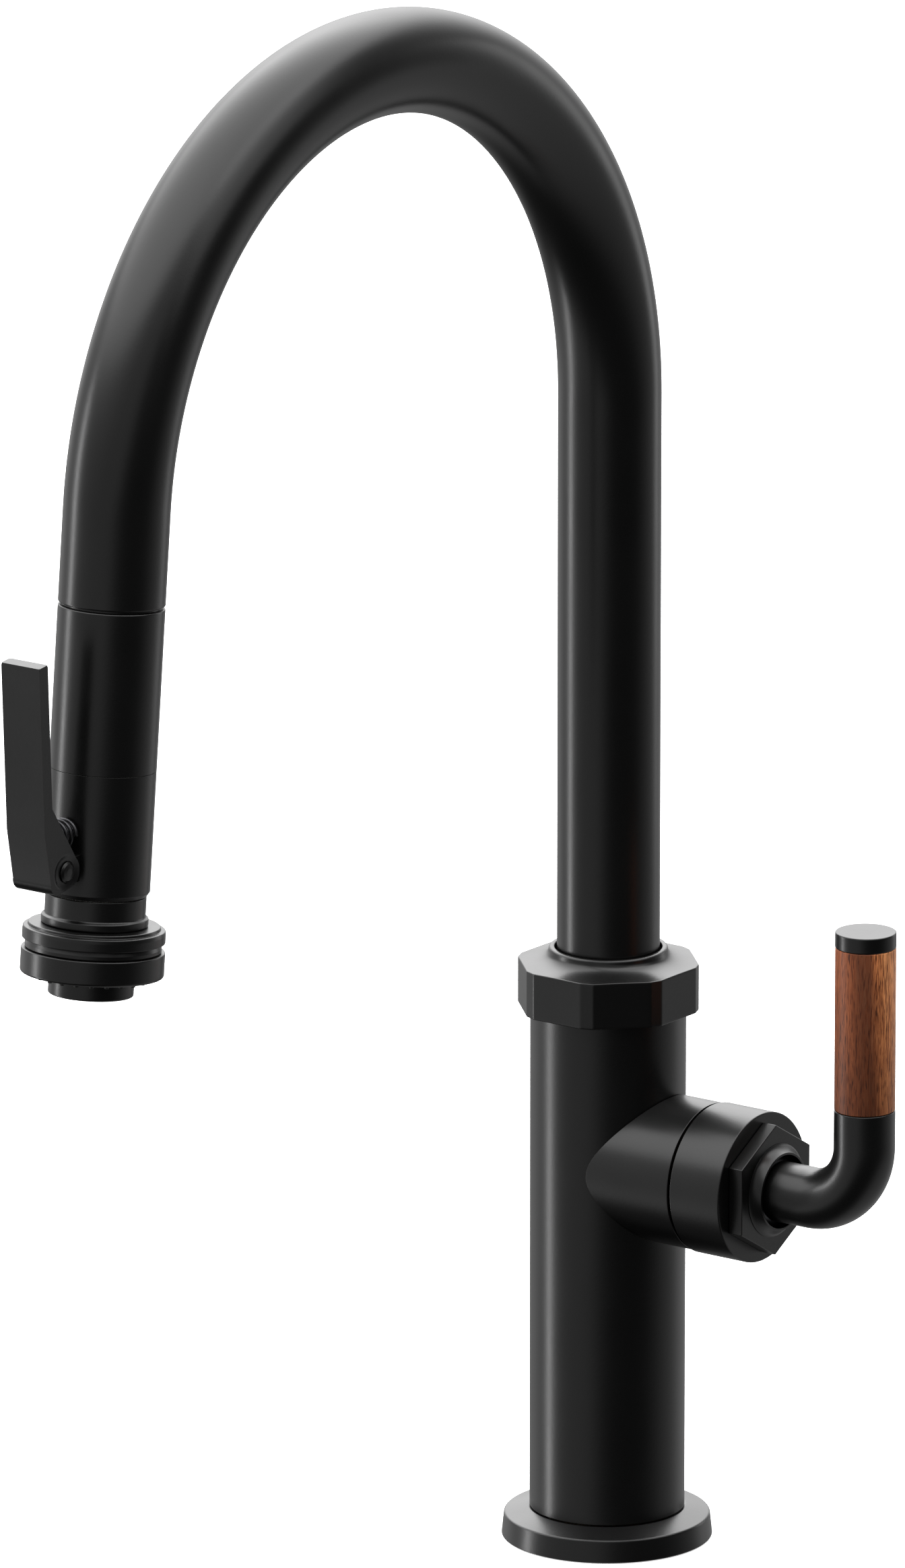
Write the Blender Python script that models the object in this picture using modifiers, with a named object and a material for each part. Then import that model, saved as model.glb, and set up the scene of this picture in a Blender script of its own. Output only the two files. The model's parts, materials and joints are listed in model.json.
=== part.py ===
"""Pull-down kitchen faucet, modelled piece by piece.

Frame: origin at the centre of the base on the deck, +Z up, the spout reaches
along -Y and the handle stands out along +X. Sizes below are millimetres.
"""
import math

import bmesh
import bpy
from mathutils import Vector

MM = 0.001
GAP = 0.3

# Base and column
FLANGE_R = 28.9
FLANGE_EDGE_R = 28.25
FLANGE_EDGE_Z = 6.2
FLANGE_TOP_Z = 8.1
COLUMN_R = 21.25
COLUMN_BORE_R = 18.5
COLUMN_TOP_Z = 149.5
GASKET_R = 26.0
GASKET_HOLE_R = 17.3
GASKET_HEIGHT = 1.6

# Collar nut at the foot of the spout
NUT_CORNER_R = 25.2
NUT_FLAT_R = 23.7
NUT_CORNER_SHARE = 0.83
NUT_TOP_Z = 162.7
NUT_LIP_R = 16.25
NUT_LIP_Z = 166.9

# Spout tube: a riser, an arc, and a short straight end that leans outwards
TUBE_R = 14.0
TUBE_BORE_R = 12.4
TUBE_FOOT_Z = 134.0
ARC_Z = 321.6
ARC_R = 108.7
LEAN = math.radians(5.5)
TUBE_END = 24.5
HOSE_R = 5.5

# Spray head, by distance along its axis from the end of the arc
HEAD_R = 14.0
HEAD_BORE_R = 12.2
HEAD_START = 25.3
HEAD_JOINT = 68.0
HEAD_END = 100.9
NECK_R = 13.2
NECK_BEAD_R = 14.0
NECK_END = 108.7
FACE_TOP = 109.1
FACE_RING_R = 18.7
SPRAY_RING_R = 18.8
SPRAY_RING_TOP = 115.8
SPRAY_RING_END = 122.4
NOZZLE_R = 11.2
NOZZLE_END = 127.8

# Spray lever on the front of the head: (out from the head axis, along it)
LEVER_WIDTH = 12.5
LEVER_THICK = 3.5
LEVER_TOP = (37.5, 37.4)
LEVER_CREASE = (31.4, 81.4)
LEVER_LOW = (27.7, 94.7)
LEVER_PIN = (20.4, 92.3)
LEVER_EYE_R = 4.5
LEVER_SLOT = 9.4
LEVER_SHOULDER = 74.6
PIN_HEAD = 0.7
PIN_HEAD_R = 2.65
PIN_R = 1.5
PIN_RECESS_R = 3.0
LUG_R = 2.9
LUG_HALF_HEIGHT = 3.6
PLUNGER_ALONG = 83.7
PLUNGER_R = 2.0
SPRING_R = 3.8
SPRING_WIRE_R = 0.55
SPRING_TURNS = 4.5

# Valve and handle, along +X at this height
HANDLE_Z = 107.4
BOSS_R = 20.4
BOSS_BORE_R = 14.6
BOSS_END = 34.7
HUB_R = 20.75
HUB_BORE_R = 14.8
HUB_START = 35.5
HUB_END = 51.75
SET_SCREW_X = 40.0
SET_SCREW_HOLE_R = 2.3
HEX_CORNER_R = 18.3
HEX_BORE_R = 12.3
HEX_SLEEVE_R = 14.4
HEX_END = 56.2
CUP_R = 13.0
CUP_LIP_R = 10.75
CUP_LIP_BORE_R = 10.1
CUP_BORE_R = 10.8
CUP_SLEEVE_R = 12.0
CUP_END = 58.9
BALL_X = 53.5
BALL_R = 10.4
STEM_TIP_X = 36.0
ARM_R = 8.3
ARM_START = 57.3
GRIP_X = 85.3
ARM_BEND_R = 17.3
GRIP_R = 8.23
GRIP_LOW_Z = 135.2
GRIP_TOP_Z = 180.4
CAP_TOP_Z = 184.8
CAP_EXTRA_R = 0.05
STUD_LOW_Z = 127.8
STUD_TOP_Z = 182.4
STUD_R = 3.9
STUD_BORE_R = 4.2

# Cartridge in the boss
HOUSING_R = 14.2
HOUSING_BORE_R = 12.8
CARTRIDGE_R = 12.4
PORT_R = 2.2
PORT_CIRCLE_R = 5.4
DISC_R = 7.0
DISC_OFFSET = 2.1

# Waterways beside the hose in the column
HOSE_HOLE_R = 7.0
PIPE_R = 4.0
PIPE_CIRCLE_R = 12.4
PIPE_TOP_Z = 88.7

STEPS = 24

# name: (colour, roughness, metallic)
MATERIALS = {
    "black_coated_metal": ((0.011, 0.011, 0.011, 1.0), 0.36, 0.0),
    "walnut": ((0.155, 0.058, 0.028, 1.0), 0.5, 0.0),
    "brass": ((0.56, 0.39, 0.15, 1.0), 0.32, 1.0),
    "steel": ((0.55, 0.55, 0.56, 1.0), 0.28, 1.0),
    "copper": ((0.70, 0.34, 0.20, 1.0), 0.35, 1.0),
    "ceramic": ((0.80, 0.78, 0.74, 1.0), 0.25, 0.0),
    "acetal": ((0.62, 0.62, 0.60, 1.0), 0.45, 0.0),
    "rubber": ((0.018, 0.018, 0.018, 1.0), 0.75, 0.0),
    "braided_nylon": ((0.035, 0.035, 0.038, 1.0), 0.6, 0.0),
    "magnet": ((0.10, 0.10, 0.11, 1.0), 0.4, 0.6),
}


def clear_scene():
    for obj in list(bpy.data.objects):
        bpy.data.objects.remove(obj, do_unlink=True)


def new_collection(name):
    collection = bpy.data.collections.new(name)
    bpy.context.scene.collection.children.link(collection)
    return collection


def make_material(name):
    colour, roughness, metallic = MATERIALS[name]
    material = bpy.data.materials.new(name)
    material.use_nodes = True
    shader = material.node_tree.nodes["Principled BSDF"]
    shader.inputs["Base Color"].default_value = colour
    shader.inputs["Roughness"].default_value = roughness
    shader.inputs["Metallic"].default_value = metallic
    return material


def make_frame(name, location, turn=(0.0, 0.0, 0.0)):
    """An empty that a group of pieces hangs on; its place is in millimetres."""
    frame = bpy.data.objects.new(name, None)
    frame.empty_display_size = 0.01
    frame.location = Vector(location) * MM
    frame.rotation_euler = turn
    PARTS.objects.link(frame)
    return frame


def add_piece(name, data, frame, material):
    """Link a mesh or curve as a named piece, or as a cutter without a material."""
    obj = bpy.data.objects.new(name, data)
    obj.parent = frame
    if material is None:
        CUTTERS.objects.link(obj)
        obj.hide_render = True
        obj.display_type = "WIRE"
    else:
        PARTS.objects.link(obj)
        data.materials.append(make_material(material))
    return obj


TURNS = {
    "Z": (0.0, 0.0, 0.0),
    "X": (0.0, math.pi / 2, 0.0),
    "-Y": (math.pi / 2, 0.0, 0.0),
}


def turned(name, profile, frame, material=None, steps=STEPS, axis="Z", at=(0, 0, 0)):
    """A profile of (radius, height) points, high to low outside, turned once round.

    A profile that starts on the axis is a solid; any other is a closed ring.
    """
    mesh = bpy.data.meshes.new(name)
    verts = [(r * MM, 0.0, z * MM) for r, z in profile]
    edges = [(i, i + 1) for i in range(len(verts) - 1)]
    if profile[0][0] > 0:
        edges.append((len(verts) - 1, 0))
    mesh.from_pydata(verts, edges, [])
    obj = add_piece(name, mesh, frame, material)
    obj.location = Vector(at) * MM
    obj.rotation_euler = TURNS[axis]
    screw = obj.modifiers.new("Turn", "SCREW")
    screw.steps = steps
    screw.render_steps = steps
    screw.use_merge_vertices = True
    screw.merge_threshold = 0.00001
    return obj


def rod(radius, low, high):
    return [(0.0, high), (radius, high), (radius, low), (0.0, low)]


def ring(outer, inner, low, high):
    return [(outer, high), (outer, low), (inner, low), (inner, high)]


def down(profile):
    """Turn (radius, distance along the head) points into (radius, height) points."""
    return [(r, -along) for r, along in profile]


def drill(piece, name, profile, frame, axis="Z", at=(0, 0, 0), steps=16):
    boolean(piece, turned(name, profile, frame, None, steps, axis, at), "DIFFERENCE")


def boolean(piece, other, operation):
    modifier = piece.modifiers.new(other.name, "BOOLEAN")
    modifier.operation = operation
    modifier.solver = "EXACT"
    modifier.object = other


def arc(centre, radius, start, end, count):
    """Points on a circle from one angle to another, in degrees."""
    angles = [math.radians(start + (end - start) * i / (count - 1)) for i in range(count)]
    return [(centre[0] + radius * math.cos(a), centre[1] + radius * math.sin(a)) for a in angles]


def plate(name, outline, thickness, frame, material=None, turn=(0, 0, 0), at=(0, 0, 0)):
    """A flat outline extruded to both sides of its plane."""
    curve = bpy.data.curves.new(name, "CURVE")
    curve.dimensions = "2D"
    curve.fill_mode = "BOTH"
    curve.extrude = thickness / 2 * MM
    spline = curve.splines.new("POLY")
    spline.points.add(len(outline) - 1)
    for point, (x, y) in zip(spline.points, outline):
        point.co = (x * MM, y * MM, 0.0, 1.0)
    spline.use_cyclic_u = True
    return meshed(name, curve, frame, material, turn, at)


def swept(name, points, radius, frame, material=None, resolution=2):
    """A round bar along a line of points."""
    curve = bpy.data.curves.new(name, "CURVE")
    curve.dimensions = "3D"
    curve.bevel_depth = radius * MM
    curve.bevel_resolution = resolution
    curve.use_fill_caps = True
    spline = curve.splines.new("POLY")
    spline.points.add(len(points) - 1)
    for point, place in zip(spline.points, points):
        point.co = (place[0] * MM, place[1] * MM, place[2] * MM, 1.0)
    return meshed(name, curve, frame, material)


def meshed(name, curve, frame, material, turn=(0, 0, 0), at=(0, 0, 0)):
    """Make a curve a closed mesh, so that it can be cut, joined or cut with."""
    source = bpy.data.objects.new(name + "_curve", curve)
    PARTS.objects.link(source)
    evaluated = source.evaluated_get(bpy.context.evaluated_depsgraph_get())
    mesh = bpy.data.meshes.new_from_object(evaluated)
    weld(mesh)
    bpy.data.objects.remove(source, do_unlink=True)
    bpy.data.curves.remove(curve)
    obj = add_piece(name, mesh, frame, material)
    obj.rotation_euler = turn
    obj.location = Vector(at) * MM
    return obj


def weld(mesh):
    cage = bmesh.new()
    cage.from_mesh(mesh)
    bmesh.ops.remove_doubles(cage, verts=cage.verts, dist=0.000001)
    bmesh.ops.recalc_face_normals(cage, faces=cage.faces)
    cage.to_mesh(mesh)
    cage.free()


def spout_line(start_z, end_along, arc_count):
    """Centreline of the spout from a height on the riser to a place past the arc."""
    points = [(0.0, 0.0, start_z)]
    sweep = math.pi - LEAN
    for i in range(arc_count + 1):
        angle = sweep * i / arc_count
        reach = ARC_R * (1.0 - math.cos(angle))
        points.append((0.0, -reach, ARC_Z + ARC_R * math.sin(angle)))
    _, y, z = points[-1]
    points.append((0.0, y - math.sin(LEAN) * end_along, z - math.cos(LEAN) * end_along))
    return points


def arc_end():
    return spout_line(0.0, 0.0, 1)[-1]


# ---------------------------------------------------------------- base

def make_base():
    turned("deck_gasket", ring(GASKET_R, GASKET_HOLE_R, 0.0, GASKET_HEIGHT), None, "rubber")
    recess = GASKET_HEIGHT + GAP
    flange = [(COLUMN_R + 0.5, FLANGE_TOP_Z), (FLANGE_EDGE_R - 0.5, FLANGE_EDGE_Z + 0.5)]
    flange += [(FLANGE_EDGE_R, FLANGE_EDGE_Z), (FLANGE_R, 0.0)]
    flange += [(GASKET_R + GAP, 0.0), (GASKET_R + GAP, recess)]
    flange += [(GASKET_HOLE_R - GAP, recess), (GASKET_HOLE_R - GAP, FLANGE_TOP_Z)]
    turned("base_flange", flange, None, "black_coated_metal", 32)

    foot = FLANGE_TOP_Z + GAP
    column = turned("body_column", ring(COLUMN_R, COLUMN_BORE_R, foot, COLUMN_TOP_Z),
                    None, "black_coated_metal", 32)
    drill(column, "column_side_hole", rod(BOSS_BORE_R, 10.0, 30.0), None, "X", (0, 0, HANDLE_Z), 24)

    insert = turned("base_insert", rod(COLUMN_BORE_R - GAP, foot, foot + 6.0), None, "brass")
    drill(insert, "insert_hose_hole", rod(HOSE_R + 0.8, 0.0, 30.0), None)
    for index, (x, y) in enumerate(pipe_places()):
        drill(insert, f"insert_pipe_hole_{index}", rod(PIPE_R + GAP, 0.0, 30.0), None, at=(x, y, 0))


def pipe_places():
    angles = [math.radians(a) for a in (-45.0, 0.0, 45.0)]
    return [(PIPE_CIRCLE_R * math.cos(a), PIPE_CIRCLE_R * math.sin(a)) for a in angles]


def make_pipes():
    names = ("hot_inlet_pipe", "mixed_outlet_pipe", "cold_inlet_pipe")
    for name, (x, y) in zip(names, pipe_places()):
        pipe = ring(PIPE_R, PIPE_R - 1.0, 1.0, PIPE_TOP_Z)
        turned(name, pipe, None, "copper", 12, at=(x, y, 0))


def make_collar_nut():
    """A cove of revolution cut to an octagon with its corners taken off."""
    lip = TUBE_R + 0.6
    cove = arc((NUT_CORNER_R + 0.4, NUT_LIP_Z + 4.0), 9.0, 207.0, 252.0, 6)
    profile = [(lip, NUT_LIP_Z), (NUT_LIP_R, NUT_LIP_Z)]
    profile += [(r, z) for r, z in cove if z < NUT_LIP_Z - 0.6]
    profile += [(NUT_CORNER_R + 2.0, NUT_TOP_Z), (NUT_CORNER_R + 2.0, COLUMN_TOP_Z + GAP)]
    profile += [(lip, COLUMN_TOP_Z + GAP)]
    nut = turned("collar_nut", profile, None, "black_coated_metal", 40)
    half_corner = math.atan(math.tan(math.radians(22.5)) * NUT_CORNER_SHARE)
    outline = []
    for index in range(8):
        middle = math.radians(45.0 * index)
        reach = NUT_FLAT_R / math.cos(half_corner)
        for angle in (middle - half_corner, middle + half_corner):
            outline.append((reach * math.cos(angle), reach * math.sin(angle)))
    prism = plate("collar_nut_flats", outline, 60.0, None, at=(0, 0, NUT_TOP_Z))
    boolean(nut, prism, "INTERSECT")


def make_swivel():
    bush = ring(COLUMN_BORE_R - GAP, TUBE_R + GAP, 132.0, 145.0)
    turned("swivel_bush", bush, None, "acetal")
    washer = ring(COLUMN_BORE_R - GAP, TUBE_R + GAP, 145.3, 146.3)
    turned("lower_thrust_washer", washer, None, "acetal")
    washer = ring(COLUMN_BORE_R - GAP, TUBE_R + GAP, 148.3, 149.3)
    turned("upper_thrust_washer", washer, None, "acetal")


# ---------------------------------------------------------------- valve

def make_valve():
    axis = make_frame("valve_axis", (0, 0, HANDLE_Z))
    make_valve_body()
    make_boss(axis)
    make_cartridge(axis)


def make_valve_body():
    """A block round the hose, with a flat seat for the cartridge housing."""
    body = turned("valve_body", ring(17.9, HOSE_HOLE_R, 80.0, 128.0), None, "brass")
    seat = plate("valve_seat_cut", [(9.0, -20.0), (20.0, -20.0), (20.0, 20.0), (9.0, 20.0)],
                 60.0, None, at=(0, 0, 91.0 + 30.0))
    boolean(body, seat, "DIFFERENCE")
    for index, (x, y) in enumerate(pipe_places()):
        drill(body, f"pipe_socket_{index}", rod(PIPE_R + GAP, 70.0, 89.0), None, at=(x, y, 0))


def make_boss(axis):
    boss = turned("valve_boss", ring(BOSS_R, BOSS_BORE_R, 8.0, BOSS_END), axis,
                  "black_coated_metal", 32, "X")
    drill(boss, "boss_saddle_cut", rod(COLUMN_R + GAP, -60.0, 60.0), axis, steps=32)


def make_cartridge(axis):
    housing = turned("cartridge_housing", rod(HOUSING_R, 9.3, 42.0), axis, "brass", STEPS, "X")
    drill(housing, "cartridge_bore", rod(HOUSING_BORE_R, 20.0, 50.0), axis, "X", steps=STEPS)
    body = turned("cartridge_body", rod(CARTRIDGE_R, 20.3, 37.0), axis, "acetal", STEPS, "X")
    drill(body, "disc_chamber", rod(10.5, 24.3, 50.0), axis, "X", steps=STEPS)
    disc = turned("fixed_ceramic_disc", rod(10.1, 24.6, 27.6), axis, "ceramic", STEPS, "X")
    for index in range(3):
        angle = math.radians(120.0 * index)
        at = (0.0, PORT_CIRCLE_R * math.sin(angle), PORT_CIRCLE_R * math.cos(angle))
        drill(housing, f"housing_port_{index}", rod(PORT_R, 0.0, 30.0), axis, "X", at, 10)
        drill(body, f"cartridge_port_{index}", rod(PORT_R, 0.0, 30.0), axis, "X", at, 10)
        drill(disc, f"disc_port_{index}", rod(PORT_R - GAP, 0.0, 30.0), axis, "X", at, 10)
    turned("cartridge_nut", ring(12.5, 8.3, 37.3, 41.7), axis, "brass", STEPS, "X")


def make_moving_disc():
    """The sliding ceramic and its carrier, which the stem of the handle drives."""
    frame = make_frame("disc_slide", (0, 0, HANDLE_Z))
    turned("moving_ceramic_disc", rod(DISC_R, 27.9, 30.9), frame, "ceramic", 20, "X",
           (0, 0, -DISC_OFFSET))
    carrier = turned("disc_carrier", rod(DISC_R, 31.2, 36.8), frame, "acetal", 20, "X",
                     (0, 0, -DISC_OFFSET))
    drill(carrier, "stem_socket", rod(3.3, 32.6, 40.0), frame, "X")


# ---------------------------------------------------------------- spout

def make_spout():
    tube = swept("spout_tube", spout_line(TUBE_FOOT_Z, TUBE_END, 22), TUBE_R, None,
                 "black_coated_metal", 8)
    bore = swept("spout_bore", spout_line(TUBE_FOOT_Z - 5.0, TUBE_END + 5.0, 22),
                 TUBE_BORE_R, None, None, 8)
    boolean(tube, bore, "DIFFERENCE")
    turned("spout_retaining_ring", ring(17.6, TUBE_R + GAP, 146.6, 148.0), None, "steel")
    tip = make_frame("spout_tip", arc_end(), (-LEAN, 0, 0))
    magnet = ring(12.0, 9.2, -14.6, -11.6)
    turned("dock_magnet", magnet, tip, "magnet", 20)
    turned("dock_sleeve", ring(12.0, 9.2, -24.5, -14.9), tip, "acetal", 20)
    swept("pull_down_hose", spout_line(1.0, 31.7, 20), HOSE_R, None, "braided_nylon", 3)


# ---------------------------------------------------------------- spray head

def make_head():
    frame = make_frame("head_slide", arc_end(), (-LEAN, 0, 0))
    make_head_shells(frame)
    make_head_waterway(frame)
    make_spray_face(frame)
    make_pin_and_spring(frame)


def make_head_shells(frame):
    shell = [(HEAD_R, HEAD_START), (HEAD_R, HEAD_JOINT - GAP / 2)]
    shell += [(HEAD_BORE_R, HEAD_JOINT - GAP / 2), (HEAD_BORE_R, HEAD_START)]
    turned("head_upper_shell", down(shell), frame, "black_coated_metal")
    steel = [(12.0, HEAD_START), (12.0, 28.3), (7.6, 28.3), (7.6, HEAD_START)]
    turned("dock_plate", down(steel), frame, "steel", 20)

    shell = [(HEAD_R, HEAD_JOINT + GAP / 2), (HEAD_R, HEAD_END - 1.0)]
    shell += [(HEAD_R - 0.8, HEAD_END), (HEAD_BORE_R, HEAD_END)]
    shell += [(HEAD_BORE_R, HEAD_JOINT + GAP / 2)]
    lower = turned("head_lower_shell", down(shell), frame, "black_coated_metal")
    out, along = LEVER_PIN
    lug = arc((-out, -along), LUG_R, 90.0, 270.0, 9)
    lug += [(-13.0, -along - LUG_HALF_HEIGHT), (-13.0, -along + LUG_HALF_HEIGHT)]
    join = plate("lever_lug", lug, LEVER_SLOT - 2 * GAP, frame, turn=side_turn())
    boolean(lower, join, "UNION")
    at = (0.0, -out, -along)
    drill(lower, "lug_pin_hole", rod(PIN_R + GAP, -10.0, 10.0), frame, "X", at)
    drill(lower, "plunger_hole", rod(PLUNGER_R + 0.4, 5.0, 20.0), frame, "-Y",
          (0.0, 0.0, -PLUNGER_ALONG))


def side_turn():
    """Stand an outline of (along -Y reversed, height) points up in the YZ plane."""
    return (math.pi / 2, 0.0, math.pi / 2)


def make_head_waterway(frame):
    socket = [(11.0, 32.0), (11.0, 37.0), (7.6, 37.0), (7.6, 45.0), (4.0, 45.0), (4.0, 32.0)]
    turned("hose_connector", down(socket), frame, "brass", 12)
    valve = [(7.6, 45.3), (7.6, 56.0), (3.6, 56.0), (3.6, 45.3)]
    turned("check_valve", down(valve), frame, "acetal", 16)
    seal = [(10.2, 56.3), (10.2, 58.3), (4.2, 58.3), (4.2, 56.3)]
    turned("connector_seal", down(seal), frame, "rubber", 16)
    body = [(11.9, 58.6), (11.9, 106.0), (3.6, 106.0), (3.6, 58.6)]
    waterway = turned("head_waterway", down(body), frame, "acetal", 20)
    drill(waterway, "plunger_bore", rod(PLUNGER_R + 0.4, 5.6, 20.0), frame, "-Y",
          (0.0, 0.0, -PLUNGER_ALONG))


def make_spray_face(frame):
    neck = [(NECK_R, HEAD_END + GAP), (NECK_R, 106.8), (NECK_BEAD_R, 107.3)]
    neck += [(NECK_BEAD_R, NECK_END), (12.2, NECK_END), (12.2, HEAD_END + GAP)]
    turned("neck_sleeve", down(neck), frame, "black_coated_metal")
    housing = [(17.25, FACE_TOP), (17.25, 109.8), (FACE_RING_R, 109.9)]
    housing += [(FACE_RING_R, 113.2), (17.85, 113.3), (17.85, SPRAY_RING_TOP - GAP)]
    housing += [(4.0, SPRAY_RING_TOP - GAP), (4.0, FACE_TOP)]
    turned("spray_housing", down(housing), frame, "black_coated_metal")
    face = [(SPRAY_RING_R, SPRAY_RING_TOP), (SPRAY_RING_R, SPRAY_RING_END - 0.5)]
    face += [(SPRAY_RING_R - 0.5, SPRAY_RING_END), (17.0, SPRAY_RING_END)]
    face += [(17.0, 117.8), (NOZZLE_R + GAP, 117.8), (NOZZLE_R + GAP, SPRAY_RING_TOP)]
    turned("spray_ring", down(face), frame, "black_coated_metal")
    pad = [(16.7, 118.1), (16.7, SPRAY_RING_END - 0.3)]
    pad += [(NOZZLE_R + 0.4, SPRAY_RING_END - 0.3), (NOZZLE_R + 0.4, 118.1)]
    turned("spray_face_pad", down(pad), frame, "rubber")
    spout = [(NOZZLE_R, SPRAY_RING_TOP), (NOZZLE_R, NOZZLE_END - 0.4)]
    spout += [(NOZZLE_R - 0.4, NOZZLE_END), (8.7, NOZZLE_END), (8.7, SPRAY_RING_TOP)]
    turned("nozzle", down(spout), frame, "black_coated_metal")
    core = [(8.4, 119.0), (8.4, 126.6), (2.0, 126.6), (2.0, 119.0)]
    turned("aerator", down(core), frame, "acetal", 20)


def make_pin_and_spring(frame):
    out, along = LEVER_PIN
    half = LEVER_WIDTH / 2
    neck = half - PIN_HEAD
    pin = [(0.0, half), (PIN_HEAD_R, half), (PIN_HEAD_R, neck), (PIN_R, neck)]
    pin += [(PIN_R, -neck), (PIN_HEAD_R, -neck), (PIN_HEAD_R, -half), (0.0, -half)]
    turned("lever_pin", pin, frame, "steel", 16, "X", (0.0, -out, -along))
    start = HEAD_R + GAP + SPRING_WIRE_R
    length = lever_back(PLUNGER_ALONG + SPRING_R) - GAP - SPRING_WIRE_R - start - 0.4
    count = int(SPRING_TURNS * 12)
    points = []
    for index in range(count + 1):
        angle = 2.0 * math.pi * SPRING_TURNS * index / count
        side = SPRING_R * math.cos(angle)
        rise = SPRING_R * math.sin(angle)
        points.append((side, -start - length * index / count, rise - PLUNGER_ALONG))
    swept("lever_spring", points, SPRING_WIRE_R, frame, "steel")


def lever_front(along):
    """How far out the front of the lever is, on its two straight runs."""
    upper, lower = (LEVER_TOP, LEVER_CREASE), (LEVER_CREASE, LEVER_LOW)
    (out_a, at_a), (out_b, at_b) = upper if along < LEVER_CREASE[1] else lower
    return out_a + (out_b - out_a) * (along - at_a) / (at_b - at_a)


def lever_back(along):
    return lever_front(along) - LEVER_THICK


# ---------------------------------------------------------------- spray lever

def make_spray_lever():
    """A paddle with two cheeks that reach back to the pin; drawn about the pin."""
    pivot = make_frame("lever_pivot", head_point(*LEVER_PIN), (-LEAN, 0, 0))
    pin_out, pin_along = LEVER_PIN
    shoulder = LEVER_SHOULDER
    front = [LEVER_TOP, LEVER_CREASE, LEVER_LOW]
    front += arc((LEVER_LOW[0] - 3.2, LEVER_LOW[1] - 0.1), 3.3, 12.0, 88.0, 4)
    eye = arc(LEVER_PIN, LEVER_EYE_R, 100.0, 232.0, 8)
    back = [(lever_back(shoulder), shoulder), (lever_back(LEVER_TOP[1]), LEVER_TOP[1] - 0.3)]
    outline = [(pin_out - out, pin_along - along) for out, along in front + eye + back]
    lever = plate("spray_lever", outline, LEVER_WIDTH, pivot, "black_coated_metal",
                  turn=side_turn())
    slot = [(lever_back(shoulder) - 2.0, shoulder - 4.0), (lever_back(76.0), 76.0)]
    slot += [(lever_back(LEVER_CREASE[1]), LEVER_CREASE[1])]
    slot += [(lever_back(LEVER_LOW[1]), LEVER_LOW[1])]
    slot += [(lever_back(105.0), 105.0), (5.0, 105.0), (5.0, shoulder - 4.0)]
    outline = [(pin_out - out, pin_along - along) for out, along in slot]
    boolean(lever, plate("lever_slot", outline, LEVER_SLOT, pivot, turn=side_turn()), "DIFFERENCE")
    drill(lever, "lever_pin_hole", rod(PIN_R + GAP, -20.0, 20.0), pivot, "X")
    half = LEVER_WIDTH / 2
    for index, side in enumerate((-1.0, 1.0)):
        low, high = sorted((side * (half - PIN_HEAD - GAP), side * (half + 5.0)))
        drill(lever, f"pin_head_recess_{index}", rod(PIN_RECESS_R, low, high), pivot, "X")
    slide = make_frame("plunger_slide", head_point(0.0, PLUNGER_ALONG), (-LEAN, 0, 0))
    end = lever_back(PLUNGER_ALONG + PLUNGER_R) - 0.4
    turned("diverter_plunger", rod(PLUNGER_R, 9.0, end), slide, "steel", 12, "-Y")


def head_point(out, along):
    """Place of a point given out from the head's axis and along it."""
    _, y, z = arc_end()
    y -= math.sin(LEAN) * along + math.cos(LEAN) * out
    z += math.sin(LEAN) * out - math.cos(LEAN) * along
    return (0.0, y, z)


# ---------------------------------------------------------------- handle

def make_hub():
    axis = make_frame("hub_axis", (0, 0, HANDLE_Z))
    hub = turned("handle_hub", ring(HUB_R, HUB_BORE_R, HUB_START, HUB_END), axis,
                 "black_coated_metal", 32, "X")
    drill(hub, "set_screw_hole", rod(SET_SCREW_HOLE_R, -40.0, 0.0), axis, at=(SET_SCREW_X, 0, 0))
    screw = rod(SET_SCREW_HOLE_R - GAP, 0.6 - HUB_R, -0.5 - HUB_BORE_R)
    turned("hub_set_screw", screw, axis, "steel", 12, at=(SET_SCREW_X, 0, 0))

    turned("ball_seat", ring(14.3, 8.3, 43.9, 46.5), axis, "acetal", STEPS, "X")
    sleeve = ring(HEX_SLEEVE_R, HEX_BORE_R, 46.8, HUB_END + 1.0)
    nut = turned("hex_nut", sleeve, axis, "black_coated_metal", STEPS, "X")
    start = HUB_END + GAP
    outline = arc((0.0, 0.0), HEX_CORNER_R, 0.0, 300.0, 6)
    turn = (0.0, math.pi / 2, 0.0)
    head = plate("hex_nut_head", outline, HEX_END - start, axis, turn=turn,
                 at=((HEX_END + start) / 2, 0, 0))
    boolean(nut, head, "UNION")
    drill(nut, "hex_nut_bore", rod(HEX_BORE_R, 40.0, 70.0), axis, "X", steps=STEPS)
    cup = [(CUP_LIP_R, CUP_END), (CUP_R, HEX_END + GAP), (CUP_SLEEVE_R, HEX_END + GAP)]
    cup += [(CUP_SLEEVE_R, 48.0), (CUP_BORE_R, 48.0), (CUP_BORE_R, 56.6)]
    cup += [(CUP_LIP_BORE_R, CUP_END)]
    turned("ball_retainer", cup, axis, "black_coated_metal", STEPS, "X")


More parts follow.
